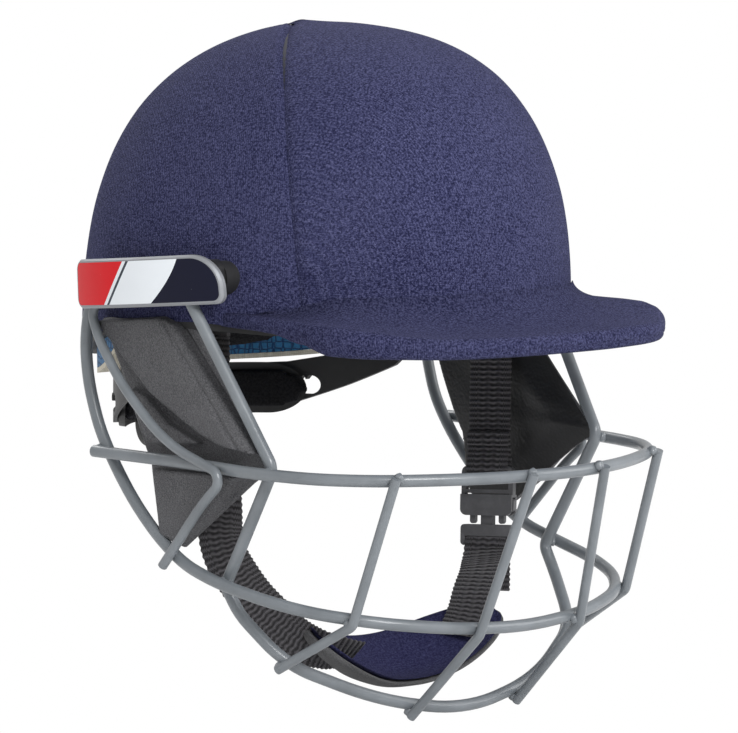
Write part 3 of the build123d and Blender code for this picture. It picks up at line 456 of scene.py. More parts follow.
def settle(piece):
    """Move an object's place, turn and size into its mesh"""
    only(piece)
    bpy.ops.object.transform_apply(location=True, rotation=True, scale=True)
    return piece


def modify(piece, kind, **settings):
    """Add a modifier and apply it at once"""
    only(piece)
    modifier = piece.modifiers.new(kind.lower(), kind)
    for key, setting in settings.items():
        setattr(modifier, key, setting)
    bpy.ops.object.modifier_apply(modifier=modifier.name)
    return piece


def edit(*steps):
    """Run mesh operators in edit mode, each on the whole mesh"""
    bpy.ops.object.mode_set(mode="EDIT")
    for operator, settings in steps:
        bpy.ops.mesh.select_all(action="SELECT")
        operator(**settings)
    bpy.ops.object.mode_set(mode="OBJECT")


def outward(piece, merge=0.00002):
    """Join doubled points and point every face outwards"""
    only(piece)
    edit((bpy.ops.mesh.remove_doubles, {"threshold": merge}),
         (bpy.ops.mesh.normals_make_consistent, {"inside": False}))
    return piece


def joined(pieces):
    nothing_selected()
    for piece in pieces:
        piece.select_set(True)
    bpy.context.view_layer.objects.active = pieces[0]
    bpy.ops.object.join()
    return pieces[0]


# %% Finishing a piece
def dress(piece, name, body, finish, *stands_for, angle=50):
    """Name a finished piece, smooth it, give it its finish and let it ride on its body"""
    settle(piece)
    piece.name = piece.data.name = name
    piece.data.materials.clear()
    piece.data.materials.append(finish)
    bpy.ops.object.shade_smooth_by_angle(angle=radians(angle))
    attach(piece, body)
    if stands_for:
        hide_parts(*stands_for)
    return piece


def repaint(finish, *names):
    """Give pieces of the measured model a finish"""
    for name in names:
        piece = nodes[name]
        for slot in piece.material_slots:
            slot.material = finish
        if not piece.material_slots:
            piece.data.materials.append(finish)


# %% Grids, tables and curves
def flat_grid(across, along, place):
    """A grid of points across by along, each laid where place(u, v) says, in millimetres"""
    cells = {"x_subdivisions": across, "y_subdivisions": along}
    piece = added(bpy.ops.mesh.primitive_grid_add, size=2, calc_uvs=True, **cells)
    for point in piece.data.vertices:
        point.co = Vector(place((point.co.x + 1) / 2, (point.co.y + 1) / 2)) * MM
    return piece


def print_layout(piece, wide, long):
    """Scale a piece's UV map so that it counts metres: wide by long millimetres"""
    for loop in piece.data.uv_layers.active.data:
        loop.uv = (loop.uv[0] * wide * MM, loop.uv[1] * long * MM)


def smooth_step(share):
    share = max(0.0, min(1.0, share))
    return share * share * (3 - 2 * share)


def between(table, at):
    """The value at a place in a table of (place, value) pairs, on a smooth curve"""
    if at <= table[0][0]:
        return table[0][1]
    for (low, first), (high, second) in zip(table, table[1:]):
        if at <= high:
            return first + (second - first) * smooth_step((at - low) / (high - low))
    return table[-1][1]


def along_curve(points, count):
    """Evenly spaced points along a smooth curve through the given ones"""
    nothing_selected()
    data = bpy.data.curves.new("guide", "CURVE")
    data.dimensions = "3D"
    spline = data.splines.new("BEZIER")
    spline.bezier_points.add(len(points) - 1)
    for knot, point in zip(spline.bezier_points, points):
        knot.co = point
        knot.handle_left_type = knot.handle_right_type = "AUTO"
    spline.resolution_u = 24
    guide = bpy.data.objects.new("guide", data)
    line = bpy.data.meshes.new_from_object(guide)
    dots = [Vector(v.co) for v in line.vertices]
    bpy.data.objects.remove(guide)
    bpy.data.meshes.remove(line)
    lengths = [0.0]
    for a, b in zip(dots, dots[1:]):
        lengths.append(lengths[-1] + (b - a).length)
    spots, at = [], 0
    for i in range(count):
        target = lengths[-1] * i / (count - 1)
        while at < len(lengths) - 2 and lengths[at + 1] < target:
            at += 1
        run = max(lengths[at + 1] - lengths[at], 1e-9)
        spots.append(dots[at].lerp(dots[at + 1], (target - lengths[at]) / run))
    return spots


print("modelling helpers ready")

# %% [markdown]
# ## The dome
# Seen from above the dome is a slightly squared oval, and from the side a slightly squared half
# oval whose crown leans forward a little. Both are superellipses, so one function gives any
# place on it from a turn round the head and a rise from the rim to the crown. The rim is level
# over the ears and dips at the nape, and the cloth swells a little over the crown button.

# %% The dome's surface
DOME_WIDE, DOME_LONG, DOME_TALL, DOME_BASE = 101.0, 118.3, 135.2, -6.2
PLAN_POWER, SIDE_POWER, CROWN_LEAN, DOME_MIDDLE = 2.13, 2.5, 6.7, 1.5
SWELL_RISE, SWELL_REACH, SWELL_Y = 1.9, 32, 8
BUTTON_RISE, BUTTON_REACH, BUTTON_Y = 1.2, 7, 17.5
rim_heights = ((-175, -7.2), (-128, -7.2), (-110, -6.9), (-90, -3.2), (-67.6, 0.2), (-57.7, 0.7), (-24, 1.6),
               (0, 0.6), (24, -1.2), (59, -10.4), (98, -21.5), (131, -24.5))


def signed_power(number, power):
    return (abs(number) ** power) * (1 if number >= 0 else -1)


def dome_place(turn, rise, out=0.0):
    """A place on the dome: turn from +X round the head, rise from 0 at the rim to a right angle"""
    wide = signed_power(cos(turn), 2 / PLAN_POWER)
    long = signed_power(sin(turn), 2 / PLAN_POWER)
    height = max(sin(rise), 0.0) ** (2 / SIDE_POWER)
    share = max(cos(rise), 0.0) ** (2 / SIDE_POWER)
    y = (DOME_LONG + out) * long * share + DOME_MIDDLE * (1 - height) - CROWN_LEAN * height ** 2
    x = (DOME_WIDE + out) * wide * share
    z = DOME_BASE + (DOME_TALL + out) * height
    low = between(rim_heights, (DOME_LONG * long + DOME_MIDDLE))
    z += (low - DOME_BASE) * (1 - 2 * rise / pi) ** 6
    z += SWELL_RISE * exp(-(hypot(x, y - SWELL_Y) / SWELL_REACH) ** 2)
    z += BUTTON_RISE * exp(-(hypot(x, y - BUTTON_Y) / BUTTON_REACH) ** 2)
    return Vector((x, y, z))


print("crown at", [round(c, 1) for c in dome_place(0, pi / 2)])

# %% [markdown]
# ## The dome's cloth in two panels
# A sphere is the natural start for a dome: its points already lie in rings. Its lower half is
# cut off, the rest is moved onto the dome's surface, and the seams are cut with a leaning plane,
# one side for the front panel and the other for the rear. Real panels are sewn with their edges
# turned in, so each panel's edge at the seam is rolled inwards, and the two make a soft groove.

# %% Shape a dome of cloth
SEAM_BACK, SEAM_ACROSS, SEAM_LEAN = 3.2, -0.9575, 0.1575
SEAM_DEPTH, SEAM_WIDE, CLOTH_THICK = 2.0, 1.5, 1.1
DOME_HEART = Vector((0, 0, 20))


def seam_distance(place):
    """How far behind the seam's plane a place is, in millimetres"""
    gap = place.y - (SEAM_BACK + SEAM_ACROSS * abs(place.x) + SEAM_LEAN * place.z)
    return gap / sqrt(1 + SEAM_ACROSS ** 2 + SEAM_LEAN ** 2)


def cut(foot, normal, **cleared):
    """The step that cuts a mesh by a plane and clears one side"""
    return bpy.ops.mesh.bisect, {"plane_co": foot, "plane_no": normal, **cleared}


def cloth_dome():
    piece = added(bpy.ops.mesh.primitive_uv_sphere_add, segments=224, ring_count=128, radius=1)
    edit(cut((0, 0, 0), (0, 0, 1), clear_inner=True))
    spots = {}
    for point in piece.data.vertices:
        flat = hypot(point.co.x, point.co.y)
        rise = atan2(max(point.co.z, 0), flat)
        turn = atan2(point.co.y, point.co.x)
        spots[point.index] = (turn, rise)
        place = dome_place(turn, rise)
        slack = noise.noise(place * 0.022) * 0.35 + noise.noise(place * 0.06) * 0.1
        point.co = dome_place(turn, rise, slack) * MM
    layer = piece.data.uv_layers.active.data
    for loop in piece.data.loops:
        turn, rise = spots[loop.vertex_index]
        place = piece.data.vertices[loop.vertex_index].co
        layer[loop.index].uv = (place.x + place.y * 0.62, place.z + hypot(place.x, place.y) * -0.55)
    return piece


# %% Cut it at the seams and roll the edges in
def cut_panel(piece, behind):
    """Keep the cloth in front of both seams, or behind them"""
    only(piece)
    foot = (0, SEAM_BACK * MM, 0)
    left, right = [Vector((-SEAM_ACROSS * side, 1, -SEAM_LEAN)).normalized() for side in (1, -1)]
    if not behind:
        edit(cut(foot, left, clear_outer=True), cut(foot, right, clear_outer=True))
        return piece
    edit(cut((0, 0, 0), (1, 0, 0), clear_inner=True), cut(foot, left, clear_inner=True))
    modify(piece, "MIRROR", use_axis=(True, False, False), merge_threshold=0.0001)
    return outward(piece)


def roll_seam(piece):
    """Turn the cloth in at the seam and let it pucker beside the stitches"""
    for point in piece.data.vertices:
        place = point.co / MM
        gap = abs(seam_distance(place))
        inward = (DOME_HEART - place).normalized()
        depth = SEAM_DEPTH * exp(-(gap / SEAM_WIDE) ** 2)
        pucker = 0.16 * exp(-(gap / 5.0) ** 2) * sin(place.z * 1.15 + place.x * 0.9)
        point.co = (place + inward * (depth + pucker)) * MM
    return piece


panels = (("front_panel_cloth", "cover_front", False), ("rear_panel_cloth", "cover_rear", True))
for name, node, behind in panels:
    piece = roll_seam(cut_panel(cloth_dome(), behind))
    modify(piece, "SOLIDIFY", thickness=CLOTH_THICK * MM, offset=-1)
    dress(piece, name, "helmet", navy_knit, node, angle=60)
    print(name, len(piece.data.polygons), "faces")

# %% [markdown]
# ## The peak
# The peak is a board inside a sewn cloth cover. Its cloth starts on the dome's front in a fine
# gathered line, drops in a hollow curve, runs out nearly level, goes over a rounded edge with a
# hem just above its lower side, and comes back under the board to the rim. One grid of points
# does it all: `u` runs round the front from one temple to the other, and `v` runs from the dome,
# over the edge and back under.

# %% The peak's outline, seen from above
edge_half = ((-96.2, -36), (-96.4, -60), (-96.8, -85), (-98.2, -102), (-96.6, -115), (-90.5, -126.5),
             (-83.4, -134), (-64.5, -149.6), (-35.2, -158.4), (0, -160.7))
edge_whole = [*edge_half, *[(-x, y) for x, y in reversed(edge_half[:-1])]]
edge_line = along_curve([Vector((x, y, 0)) for x, y in edge_whole], 401)
peak_heights = ((-160, 1.3), (-150, 1.7), (-140, 2.7), (-130, 3.9), (-120, 5.2), (-110, 6.2), (-60, 6.4),
                (-36, 6.2))
root_turn = pi * 2 + atan2(-36 - DOME_MIDDLE, -94.0)


def dome_foot(u, height):
    """The dome's surface at a height, u of the way round its front from the right temple"""
    turn = root_turn + (3 * pi - root_turn - root_turn) * u
    low, high = 0.0, pi / 2
    for _ in range(24):
        middle = (low + high) / 2
        if dome_place(turn, middle).z < height:
            low = middle
        else:
            high = middle
    foot = dome_place(turn, low)
    return foot, dome_place(turn, low, 1.0) - foot


# %% The peak's section
TOP_SHARE, EDGE_SHARE, UNDER_SHARE, EDGE_BULGE = 0.5, 0.16, 0.34, 0.42


def peak_top(t, at, away, foot, run, reach, crease, top, ridge):
    """From the dome to the edge on one hollow curve, with gathers at the seam and pulls at the ends"""
    one = foot - Vector((0, 0, min(crease - top.z, 14) * 0.62)) + run * (reach * 0.05)
    two = top - run * (reach * 0.62) + Vector((0, 0, 0.9))
    place = foot * (1 - t) ** 3 + one * (3 * t * (1 - t) ** 2) + two * (3 * t * t * (1 - t)) + top * t ** 3
    gather = 0.34 * exp(-(t / 0.05) ** 2) * sin(at * 2.1) + 0.12 * exp(-(t / 0.25) ** 2) * sin(at * 1.05 + 1)
    pull = 0.9 * exp(-((away - 0.93) / 0.07) ** 2) * sin(t * 26 + away * 14) * 0.5
    return place + Vector((0, 0, ridge + gather)) + run * pull


def peak_edge(t, edge_low, run, thick, ridge):
    """Half way round the edge, with the groove of the hem just above the lower side"""
    angle, half = t * pi, thick / 2
    hem = 0.55 * exp(-((t - 0.62) / 0.045) ** 2)
    place = edge_low + Vector((0, 0, half)) + Vector((0, 0, cos(angle) * half)) - run * (thick * EDGE_BULGE)
    return place + run * (sin(angle) ** 0.8 * thick * EDGE_BULGE - hem) + Vector((0, 0, ridge * (1 - t)))


def peak_under(t, start, under):
    """Back under the board to the rim, with a row of stitches 7 mm in"""
    place = start.lerp(under, t)
    stitch = 0.4 * exp(-(((start - place).length - 7) / 0.8) ** 2)
    return place + Vector((0, 0, stitch + 0.5 * sin(pi * t)))


def peak_place(u, v):
    u = 0.5 + (u - 0.5) * 0.998
    away = abs(u - 0.5) * 2
    crease = between(((0, 16.0), (0.62, 15.0), (0.86, 9.0), (1.0, 3.2)), away)
    on_dome, out = dome_foot(u, crease)
    foot = on_dome + out.normalized() * 0.9
    at = u * (len(edge_line) - 1)
    edge = edge_line[int(at)].lerp(edge_line[min(int(at) + 1, len(edge_line) - 1)], at % 1)
    low = between(rim_heights, edge.y) + between(((0, -0.3), (0.7, -0.3), (1.0, -0.6)), away)
    edge_low = Vector((edge.x, edge.y, low))
    thick = between(peak_heights, edge.y) - low
    flat = Vector((edge.x - foot.x, edge.y - foot.y, 0))
    run = flat.normalized()
    start = edge_low - run * (thick * EDGE_BULGE)
    ridge = noise.noise(Vector((edge.x * 0.03, edge.y * 0.03, v * 3))) * 0.5
    if v < TOP_SHARE:
        top = start + Vector((0, 0, thick))
        return peak_top(v / TOP_SHARE, at, away, foot, run, flat.length, crease, top, ridge)
    if v < TOP_SHARE + EDGE_SHARE:
        return peak_edge((v - TOP_SHARE) / EDGE_SHARE, edge_low, run, thick, ridge)
    under = Vector((on_dome.x, on_dome.y, low)) - run * 3.0
    return peak_under((v - TOP_SHARE - EDGE_SHARE) / UNDER_SHARE, start, under)


peak = flat_grid(300, 110, peak_place)
print_layout(peak, 460, 150)
outward(peak)
dress(peak, "peak_cloth", "helmet", navy_knit, "peak_cover", angle=70)
print("peak cloth", len(peak.data.polygons), "faces")

# %% [markdown]
# ## The crown button
# Where the seams meet, a flat button under the cloth makes a small soft bump.

# %% Crown button
CAP_ROUND, CAP_TALL, CAP_DEEP, CAP_Z = 7.0, 2.0, 1.2, 129.3
button = added(bpy.ops.mesh.primitive_uv_sphere_add, segments=48, ring_count=24, radius=1)
for point in button.data.vertices:
    share = min(1.0, hypot(point.co.x, point.co.y))
    level = CAP_TALL * (1 - share ** 2) ** 1.6 if point.co.z > 0 else -CAP_DEEP * (1 - share ** 2)
    point.co = Vector((point.co.x * CAP_ROUND, BUTTON_Y + point.co.y * CAP_ROUND, CAP_Z + level)) * MM
dress(button, "crown_button_cloth", "helmet", navy_knit, "crown_button")
print("crown button", len(button.data.polygons), "faces")

# %% [markdown]
# ## Moulded ear pads
# Each pad starts as flat outlines: a flange and three raised zones. They are extruded, drawn in,
# bevelled, joined and remeshed into one skin, and a smoothing pass softens it. Last, a line is
# pressed along the front zone, in front of which the pad falls away to a thin lip.

# %% Pads from outlines
EAR_FLANGE = ((41.8, -1.4), (-5, 4.5), (-16, 6), (-76.4, -57.3), (-62, -66), (-16, -99.4), (-3.1, -97),
              (2, -93.2), (7, -64.2), (13, -53.9), (25, -29))
front_zone = ((40.0, -1.8), (-5.8, 3.6), (-15.0, 1.0), (-68.6, -53.0), (-48.7, -51.6), (-33.4, -47.6),
              (1.4, -31.8))
middle_zone = ((18.6, -30.2), (7.1, -32.8), (-10.2, -44.7), (-32.0, -51.6), (0.1, -55.6), (6.2, -54.4))
low_zone = ((0.3, -64.4), (-59.4, -62.4), (-37.5, -83.6), (-17.2, -97.0), (-5.0, -95.0))
EAR_ZONES = ((front_zone, 105.4), (middle_zone, 103.4), (low_zone, 105.0))
FLANGE_IN, FLANGE_OUT, ZONE_FOOT, SKIN_IN, SKIN_OUT = 93.2, 98.9, 97.5, 91.9, 93.15
PRESSED_LINE, PRESSED_DEPTH, PRESSED_WIDE = ((-7.5, 1.7), (-60.2, -53.3)), 1.3, 1.0
LIP_X, LIP_WIDE, LIP_CURL = 98.0, 15, 0.85


def prism(outline, low, high, draw_in, bevel):
    """An outline in side view, extruded outwards, drawn in by a few millimetres and bevelled"""
    piece = added(bpy.ops.mesh.primitive_circle_add, vertices=len(outline), fill_type="NGON")
    middle = Vector((0, sum(y for y, _ in outline) / len(outline), sum(z for _, z in outline) / len(outline)))
    for point, (y, z) in zip(piece.data.vertices, outline):
        point.co = (low, y, z)
    edit((bpy.ops.mesh.extrude_region_move, {"TRANSFORM_OT_translate": {"value": (high - low, 0, 0)}}))
    for point in piece.data.vertices:
        if point.co.x > (low + high) / 2:
            inward = Vector((0, middle.y - point.co.y, middle.z - point.co.z)).normalized()
            point.co += inward * draw_in
        point.co *= MM
    outward(piece)
    return modify(piece, "BEVEL", width=bevel * MM, segments=3, limit_method="ANGLE", angle_limit=radians(40))


def line_gap(y, z, start, end):
    """Signed distance from a line in side view, in millimetres, and the share of the way along it"""
    run_y, run_z = end[0] - start[0], end[1] - start[1]
    long = hypot(run_y, run_z)
    along = ((y - start[0]) * run_y + (z - start[1]) * run_z) / long ** 2
    return ((y - start[0]) * run_z - (z - start[1]) * run_y) / long, along


def press_pad(point):
    """The pressed line along the front zone, the fall in front of it and a soft waviness"""
    place = point.co / MM
    if place.x > 99.5 and place.z > -56:
        gap, along = line_gap(place.y, place.z, *PRESSED_LINE)
        if -0.03 < along < 1.03:
            depth = PRESSED_DEPTH * exp(-(gap / PRESSED_WIDE) ** 2)
            fall = 0.4 * max(0.0, min(gap, 9.0)) if gap > 0 else 0.0
            point.co.x -= (depth + fall) * MM
    point.co.x += noise.noise(place * 0.05) * 0.35 * MM


def thin_edge(point):
    """The flange thins to a lip along its front and lower edges, on the side towards the head"""
    place = point.co / MM
    if place.x < LIP_X:
        sides = zip(EAR_FLANGE[2:5], EAR_FLANGE[3:6])
        inset = -max(line_gap(place.y, place.z, start, end)[0] for start, end in sides)
        point.co.x += (LIP_X - place.x) * LIP_CURL * (1 - smooth_step(inset / LIP_WIDE)) * MM


# %% Left pad, then its mirror image
def ear_pad(side):
    parts = [prism(EAR_FLANGE, FLANGE_IN, FLANGE_OUT, 0.0, 1.2)]
    parts += [prism(zone, ZONE_FOOT, top, 1.3, 0.9) for zone, top in EAR_ZONES]
    piece = joined(parts)
    modify(piece, "REMESH", mode="VOXEL", voxel_size=0.75 * MM)
    modify(piece, "SMOOTH", factor=0.5, iterations=1)
    for point in piece.data.vertices:
        press_pad(point)
        thin_edge(point)
        point.co.x *= side
    return outward(piece)


for side, name in ((1, "left"), (-1, "right")):
    dress(ear_pad(side), "ear_foam_" + name, "helmet", pad_foam, "ear_pad_" + name, angle=60)

# %% [markdown]
# ## Ear linings
# The side towards the head has a soft black skin, stretched over the pad and gathered a little,
# so it has shallow folds that fan out from the front corner and a rolled edge.

# %% Soft linings
FOLD_ROOT = (-78, -57)


def ear_skin(side):
    piece = prism(EAR_FLANGE, SKIN_IN, SKIN_OUT, 0.0, 0.5)
    modify(piece, "REMESH", mode="VOXEL", voxel_size=0.9 * MM)
    modify(piece, "SMOOTH", factor=0.5, iterations=2)
    for point in piece.data.vertices:
        place = point.co / MM
        if place.x < 92.5:
            rise, run = place.z - FOLD_ROOT[1], place.y - FOLD_ROOT[0]
            turn, far = atan2(rise, run), hypot(rise, run)
            fold = sin(turn * 17 + noise.noise(place * 0.03) * 2.5) * min(1.0, far / 30) * 0.45
            point.co.x -= (fold * 0.5 + noise.noise(place * 0.06) * 0.4) * MM
        thin_edge(point)
        point.co.x *= side
    return outward(piece)


for side, name in ((1, "left"), (-1, "right")):
    skin = dress(ear_skin(side), "ear_skin_" + name, "helmet", pad_lining, "ear_lining_" + name, angle=60)
print("ear linings done")

# %% [markdown]
# ## Straps
# A strap is one grid of points wrapped round a flat section while it follows a smooth line. Its
# ribs are real: the section swells and shrinks every 2.4 mm. The way its width points is given at
# each knot, so that it can twist where it comes to lie in the cup.

# %% Ribbed strap along a line
STRAP_WIDE, STRAP_THICK = 20.0, 1.5


def strap(knots):
    """A strap through knots, each a place and the way its width points there"""
    spine = along_curve([Vector(knot[0]) for knot in knots], 600)
    steps = [0.0]
    for a, b in zip(spine, spine[1:]):
        steps.append(steps[-1] + (b - a).length)
    long = steps[-1]
    marks = []
    for knot in knots:
        spot = Vector(knot[0])
        marks.append(steps[min(range(len(spine)), key=lambda i: (spine[i] - spot).length)])
    marks[0], marks[-1] = 0.0, long

    def width_way(at):
        for (low, high, first, second) in zip(marks, marks[1:], knots, knots[1:]):
            if at <= high + 0.001:
                share = smooth_step((at - low) / max(high - low, 0.001))
                return Vector(first[1]).normalized().lerp(Vector(second[1]).normalized(), share).normalized()
        return Vector(knots[-1][1]).normalized()

    def place(u, v):
        at = v * long
        i = min(int(v * (len(spine) - 1)), len(spine) - 2)
        spot = spine[i].lerp(spine[i + 1], v * (len(spine) - 1) - i)
        run = (spine[i + 1] - spine[i]).normalized()
        side = width_way(at)
        side = (side - run * side.dot(run)).normalized()
        out = run.cross(side)
        swell = sin(2 * pi * at / RIB)
        close = min(1.0, at / 0.8, (long - at) / 0.8)
        turn = 2 * pi * u
        half = STRAP_WIDE / 2 + 0.22 * swell
        flat, tall = signed_power(cos(turn), 0.35), signed_power(sin(turn), 0.55)
        depth = (STRAP_THICK / 2 + 0.13 * swell) * (0.25 + 0.75 * close)
        wave = noise.noise(spot * 0.05) * 0.4
        return spot + side * flat * half * (0.97 + 0.03 * close) + out * (tall * depth + wave)

    count = int(long / RIB * 9)
    piece = flat_grid(28, count, place)
    print_layout(piece, STRAP_WIDE * 2, long)
    return outward(piece, 0.00001)


# %% The wearer's left: socket strap and plug strap
FACE_WAY, UP_WAY = Vector((-0.877334, -0.466735, 0.111548)), Vector((0.085129, 0.07739, 0.99336))
BUCKLE = Vector((77.5, -27.0, -95.0))
ACROSS = UP_WAY.cross(FACE_WAY).normalized()


def at_buckle(up, out):
    return BUCKLE + UP_WAY * up + FACE_WAY * out


def crossing(spots):
    """Knots at the buckle, each so far up the strap and out from it, with the strap's width level"""
    return [(at_buckle(up, out), ACROSS) for up, out in spots]


upper = strap(crossing(((90.0, 0.0), (62.0, -0.2), (36.0, -0.6), (27.0, -1.6), (21.0, -3.1), (17.0, -3.4),
                        (13.2, -2.2), (12.4, 0.0), (13.2, 2.2), (17.0, 3.4), (21.0, 3.1), (27.0, 1.3),
                        (33.0, 1.1))))
dress(upper, "upper_strap", "chin_strap", webbing_finish, "upper_webbing", angle=70)
hem = strap(crossing(((28.5, 2.6), (33.5, 2.8), (35.0, 1.2), (33.5, 0.4))))
dress(hem, "upper_strap_hem", "chin_strap", webbing_finish, angle=70)

plug_line = crossing(((-39.0, -3.4), (-28.0, -3.2), (-17.5, -2.9), (-14.2, -1.6), (-13.8, 0.4), (-15.6, 2.9),
                      (-20.5, 4.6)))
plug_line += [((60.0, -40.5, -121.0), (0.5, -0.85, 0.1)), ((51.0, -45.5, -129.0), (0.42, -0.9, 0.0)),
              ((43.5, -49.5, -138.0), (0.35, -0.92, -0.15)), ((34.0, -52.6, -147.4), (0.25, -0.94, -0.2))]
lower = strap(plug_line)
dress(lower, "lower_strap", "plug", webbing_finish, "lower_webbing", angle=70)
print("left straps:", len(upper.data.polygons), "and", len(lower.data.polygons), "faces")

# %% The wearer's right: one length into the cup
FACING = (-0.6, 0.45, -0.65)
right_line = (((-85.1, -20.0, -5.2), (0, 1, 0)), ((-84.8, -21.5, -50.0), (0.05, 1, 0)),
              ((-84.0, -24.5, -79.0), (-0.35, 0.92, -0.05)), ((-83.0, -23.6, -98.0), (-0.62, 0.7, -0.3)),
              ((-76.5, -29.2, -115.5), FACING), ((-65.5, -37.5, -131.5), FACING),
              ((-55.0, -45.0, -142.5), (-0.5, 0.55, -0.65)), ((-43.0, -51.0, -147.5), (-0.3, 0.65, -0.7)),
              ((-30.0, -53.5, -150.2), (-0.1, 0.75, -0.65)))
right_strap = strap(right_line)
dress(right_strap, "right_strap", "chin_strap", webbing_finish, "right_webbing", angle=70)
print("right strap:", len(right_strap.data.polygons), "faces")

# %% [markdown]
# ## The chin cup
# The cup is a boat of thin foam bent round the chin, thickest along its middle and turned up at
# its edges, with a cloth lining that is sewn in and rounds over the rim.

# %% Foam and lining from one surface
CUP_ROUND, CUP_TURN, CUP_LEAN = 79.07, radians(48.5), radians(28)
CUP_SEAT = Vector((0, -43, -164))
CUP_UP = Vector((0, -sin(CUP_LEAN), cos(CUP_LEAN)))
CUP_FRONT = Vector((0, -cos(CUP_LEAN), -sin(CUP_LEAN)))
FRONT_WIDE, FRONT_LIFT, REAR_WIDE, REAR_LIFT = 17.6, 6.5, 22.0, 2.6


def cup_place(s, t, depth):
    """s along the cup from -1 to 1, t across it from -1 to 1, depth in from the outer face"""
    wide, lift = (FRONT_WIDE, FRONT_LIFT) if t > 0 else (REAR_WIDE, REAR_LIFT)
    half = wide * (1 - abs(s) ** 3.0) ** 0.55 + 0.5
    radius = CUP_ROUND - depth - lift * t * t * (1 - abs(s) ** 4)
    turn = s * CUP_TURN
    round_chin = CUP_SEAT + Vector((radius * sin(turn), 0, 0)) + CUP_UP * (CUP_ROUND - radius * cos(turn))
    return round_chin + CUP_FRONT * (t * half)


def cup_shell(low, high, margin):
    """A closed layer of the cup: u goes over the outer face, round the edge and back inside"""
    def place(u, v):
        s = (v * 2 - 1) * (1 - margin * 0.4)
        turn = 2 * pi * u
        t = signed_power(cos(turn), 0.6) * (1 - margin)
        side = signed_power(sin(turn), 0.7)
        depth = (low + high) / 2 + side * (high - low) / 2 * min(1.0, (1 - abs(s)) * 12 + 0.05)
        crease = noise.noise(cup_place(s, t, depth) * 0.06) * 0.4
        return cup_place(s, t, depth + crease)
    piece = flat_grid(64, 150, place)
    print_layout(piece, 80, 140)
    return outward(piece)


dress(cup_shell(0.0, 4.6, 0.0), "cup_foam", "chin_strap", cup_finish, "chin_cup", angle=70)
cup_cloth = cup_shell(4.4, 6.2, 0.035)
dress(cup_cloth, "cup_cloth", "chin_strap", lining_knit, "chin_cup_lining", angle=70)
print("cup lining", len(cup_cloth.data.polygons), "faces")

# %% [markdown]
# ## Comfort pads
# The pads inside are foam in thin cloth. Each starts from the measured solid, remeshed and smoothed,
# and a short cloth simulation blows it up like a cushion, so that its faces bulge and its edges
# draw in.

# %% Blow up the pads
PAD_FILL, PAD_VOXEL, PAD_PRESSURE, PAD_RISE, PAD_FRAMES = 0.8, 2.4, 3.0, 1.4, 20


def blow_up(piece):
    """A short cloth simulation, in which no point may rise far, and one subdivision"""
    before = [point.co.copy() for point in piece.data.vertices]
    only(piece)
    cloth = piece.modifiers.new("cloth", "CLOTH")
    cloth.settings.quality = 5
    cloth.settings.mass = 0.3
    cloth.settings.tension_stiffness = cloth.settings.compression_stiffness = 25
    cloth.settings.use_pressure = True
    cloth.settings.uniform_pressure_force = PAD_PRESSURE
    cloth.settings.effector_weights.gravity = 0
    cloth.point_cache.frame_start, cloth.point_cache.frame_end = 1, PAD_FRAMES
    for moment in range(1, PAD_FRAMES + 1):
        scene.frame_set(moment)
    bpy.ops.object.modifier_apply(modifier="cloth")
    scene.frame_set(1)
    for point, start in zip(piece.data.vertices, before):
        move = point.co - start
        if move.length > PAD_RISE * MM:
            point.co = start + move.normalized() * PAD_RISE * MM
    modify(piece, "SUBSURF", levels=1)


def soft_pad(node, name, body, finish):
    source = nodes[node]
    piece = bpy.data.objects.new(name, source.data.copy())
    scene.collection.objects.link(piece)
    piece.matrix_world = source.matrix_world.copy()
    settle(piece)
    modify(piece, "REMESH", mode="VOXEL", voxel_size=PAD_VOXEL * MM)
    modify(piece, "SMOOTH", factor=0.5, iterations=2)
    blow_up(piece)
    dress(piece, name, body, finish, node, angle=70)
    print(name, len(piece.data.polygons), "faces")


for node, name in (("brow_pad", "brow_cushion"), ("occiput_pad", "occiput_cushion"),
                   ("crown_pad_front", "crown_cushion_front"), ("crown_pad_rear", "crown_cushion_rear")):
    soft_pad(node, name, "helmet", pad_cloth)
soft_pad("nape_pad", "nape_cushion", "nape_slider", nape_cloth)

# %% [markdown]
# ## Weld beads
# Where two wires cross they are welded before they are dipped, so a small bead fills the corner.
# The crossings are found on the measured wires: the nearest points of each pair.

# %% Find the crossings
CROSSING_GAP, CROSSING_APART, BEAD_ROUND = 2.24, 14, 2.3


def crossings(first, second):
    """The middle between two wires wherever they come closest"""
    tree = KDTree(len(nodes[second].data.vertices))
    for point in nodes[second].data.vertices:
        tree.insert(nodes[second].matrix_world @ point.co, point.index)
    tree.balance()
    close = []
    for point in nodes[first].data.vertices:
        place = nodes[first].matrix_world @ point.co
        other, _, gap = tree.find(place)
        if gap < CROSSING_GAP * MM:
            close.append((gap, (place + other) / 2))
    spots = []
    for gap, middle in sorted(close, key=lambda pair: pair[0]):
        if all((middle - spot).length > CROSSING_APART * MM for spot in spots):
            spots.append(middle)
    return spots


top, middle, lower = bars = ["guard_top_bar", "guard_middle_bar", "guard_lower_bar"]
rods = [f"guard_{rod}_{side}" for rod in ("outer_rod", "inner_rod", "side_wire") for side in ("left", "right")]
pairs = [(rod, bar) for rod in rods for bar in bars] + [(top, lower), (top, middle), (middle, lower)]
bead_spots = [spot for pair in pairs for spot in crossings(*pair)]
print(len(bead_spots), "crossings")

# %% Put a bead on each
beads = []
for spot in bead_spots:
    bead = added(bpy.ops.mesh.primitive_ico_sphere_add, subdivisions=3, radius=BEAD_ROUND * MM, location=spot)
    for point in bead.data.vertices:
        point.co *= 1 + noise.noise((point.co + spot) * 600) * 0.25
    beads.append(bead)
beads = dress(joined(beads), "weld_beads", "helmet", wire_coat)
print("weld beads:", len(beads.data.polygons), "faces")

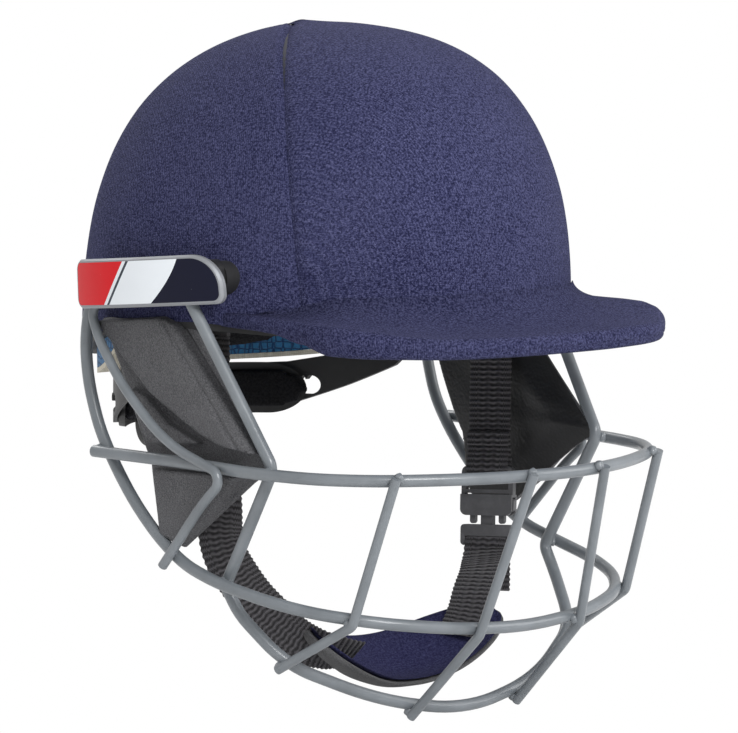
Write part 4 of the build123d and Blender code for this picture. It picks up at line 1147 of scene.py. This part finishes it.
# %% [markdown]
# ## Finishes for the measured pieces
# What keeps its measured shape only needs its finish: the wires, plates, mouldings, rubber, screws
# and rivets, the buckle, and the layers that show at the rim.

# %% Hand out the finishes
def named(*starts):
    return [name for name in nodes if name.startswith(starts)]


wires = [name for name in named("guard_") if "bar" in name or "wire" in name or "rod" in name]
repaint(wire_coat, *wires)
repaint(plate_print, *named("side_plate"))
repaint(black_moulding, *named("guard_mount", "nape_strap", "nape_cradle", "cradle_peg"))
repaint(ribbed_rubber, *named("guard_spacers", "rim_trim"))
repaint(steel, *named("guard_washers", "guard_screws", "guard_nuts", "strap_rivet", "nape_rivet"))
repaint(buckle_moulding, *named("buckle_"))
repaint(shell_moulding, "hard_shell")
repaint(blue_foam, "foam_liner")
repaint(tape_finish, "liner_tape")
repaint(webbing_finish, *named("strap_tab"))
print(len(wires), "wires coated")

# %% [markdown]
# ## Staging
# The helmet stands over a pale floor in an even white surrounding. The camera's own rays see both
# as plain white, so no extra light falls on the helmet. Three large soft lamps shape it: the
# strongest from the front left, a weaker one from the right and one behind.

# %% The floor
FLOOR_SIZE, FLOOR_GAP = 6, 0.0005
under = (0, 0, box_at_load[0][2] - FLOOR_GAP)
floor = added(bpy.ops.mesh.primitive_plane_add, size=FLOOR_SIZE, location=under)
floor.name = "floor"
ground = Finish("pale_floor", Roughness=0.9, Specular_IOR_Level=0.1)
ground.colour((0.86, 0.86, 0.86))
glow = ground.node("Emission", Color=(1, 1, 1, 1), Strength=1.0)
both = ground.node("MixShader")
parts = (ground.node("LightPath").outputs["Is Camera Ray"], ground.shader.outputs[0], glow.outputs[0])
for slot, given in zip(both.inputs, parts):
    ground.feed(slot, given)
ground.feed(ground.tree.nodes["Material Output"].inputs["Surface"], both.outputs[0])
floor.data.materials.append(ground.material)
print("floor", FLOOR_SIZE, "m wide")

# %% The surrounding
SKY_LIGHT = 0.62
world = scene.world or bpy.data.worlds.new("studio")
scene.world = world
world.use_nodes = True
sky = world.node_tree
sky.nodes["Background"].inputs["Color"].default_value = (1, 1, 1, 1)
path = sky.nodes.new("ShaderNodeLightPath")
level = sky.nodes.new("ShaderNodeMapRange")
level.inputs["To Min"].default_value = SKY_LIGHT
level.inputs["To Max"].default_value = 1.0
sky.links.new(path.outputs["Is Camera Ray"], level.inputs["Value"])
sky.links.new(level.outputs["Result"], sky.nodes["Background"].inputs["Strength"])
print("the surrounding lights the helmet at", SKY_LIGHT)


# %% Lamps
def lamp(name, place, size, power):
    """A round soft lamp of so many metres and watts, pointed at the helmet"""
    made = added(bpy.ops.object.light_add, type="AREA", location=place)
    made.name = name
    made.data.shape = "DISK"
    made.data.size, made.data.energy = size, power
    made.rotation_euler = (-Vector(place)).to_track_quat("-Z", "Y").to_euler()
    print(name, power, "W")


lamp("key_lamp", (-0.5, -1.7, 1.1), 0.9, 27)
lamp("fill_lamp", (1.4, -1.3, 0.8), 1.2, 11)
lamp("back_lamp", (0.3, 1.6, 1.3), 1.0, 10)
scene.view_settings.view_transform = "Standard"
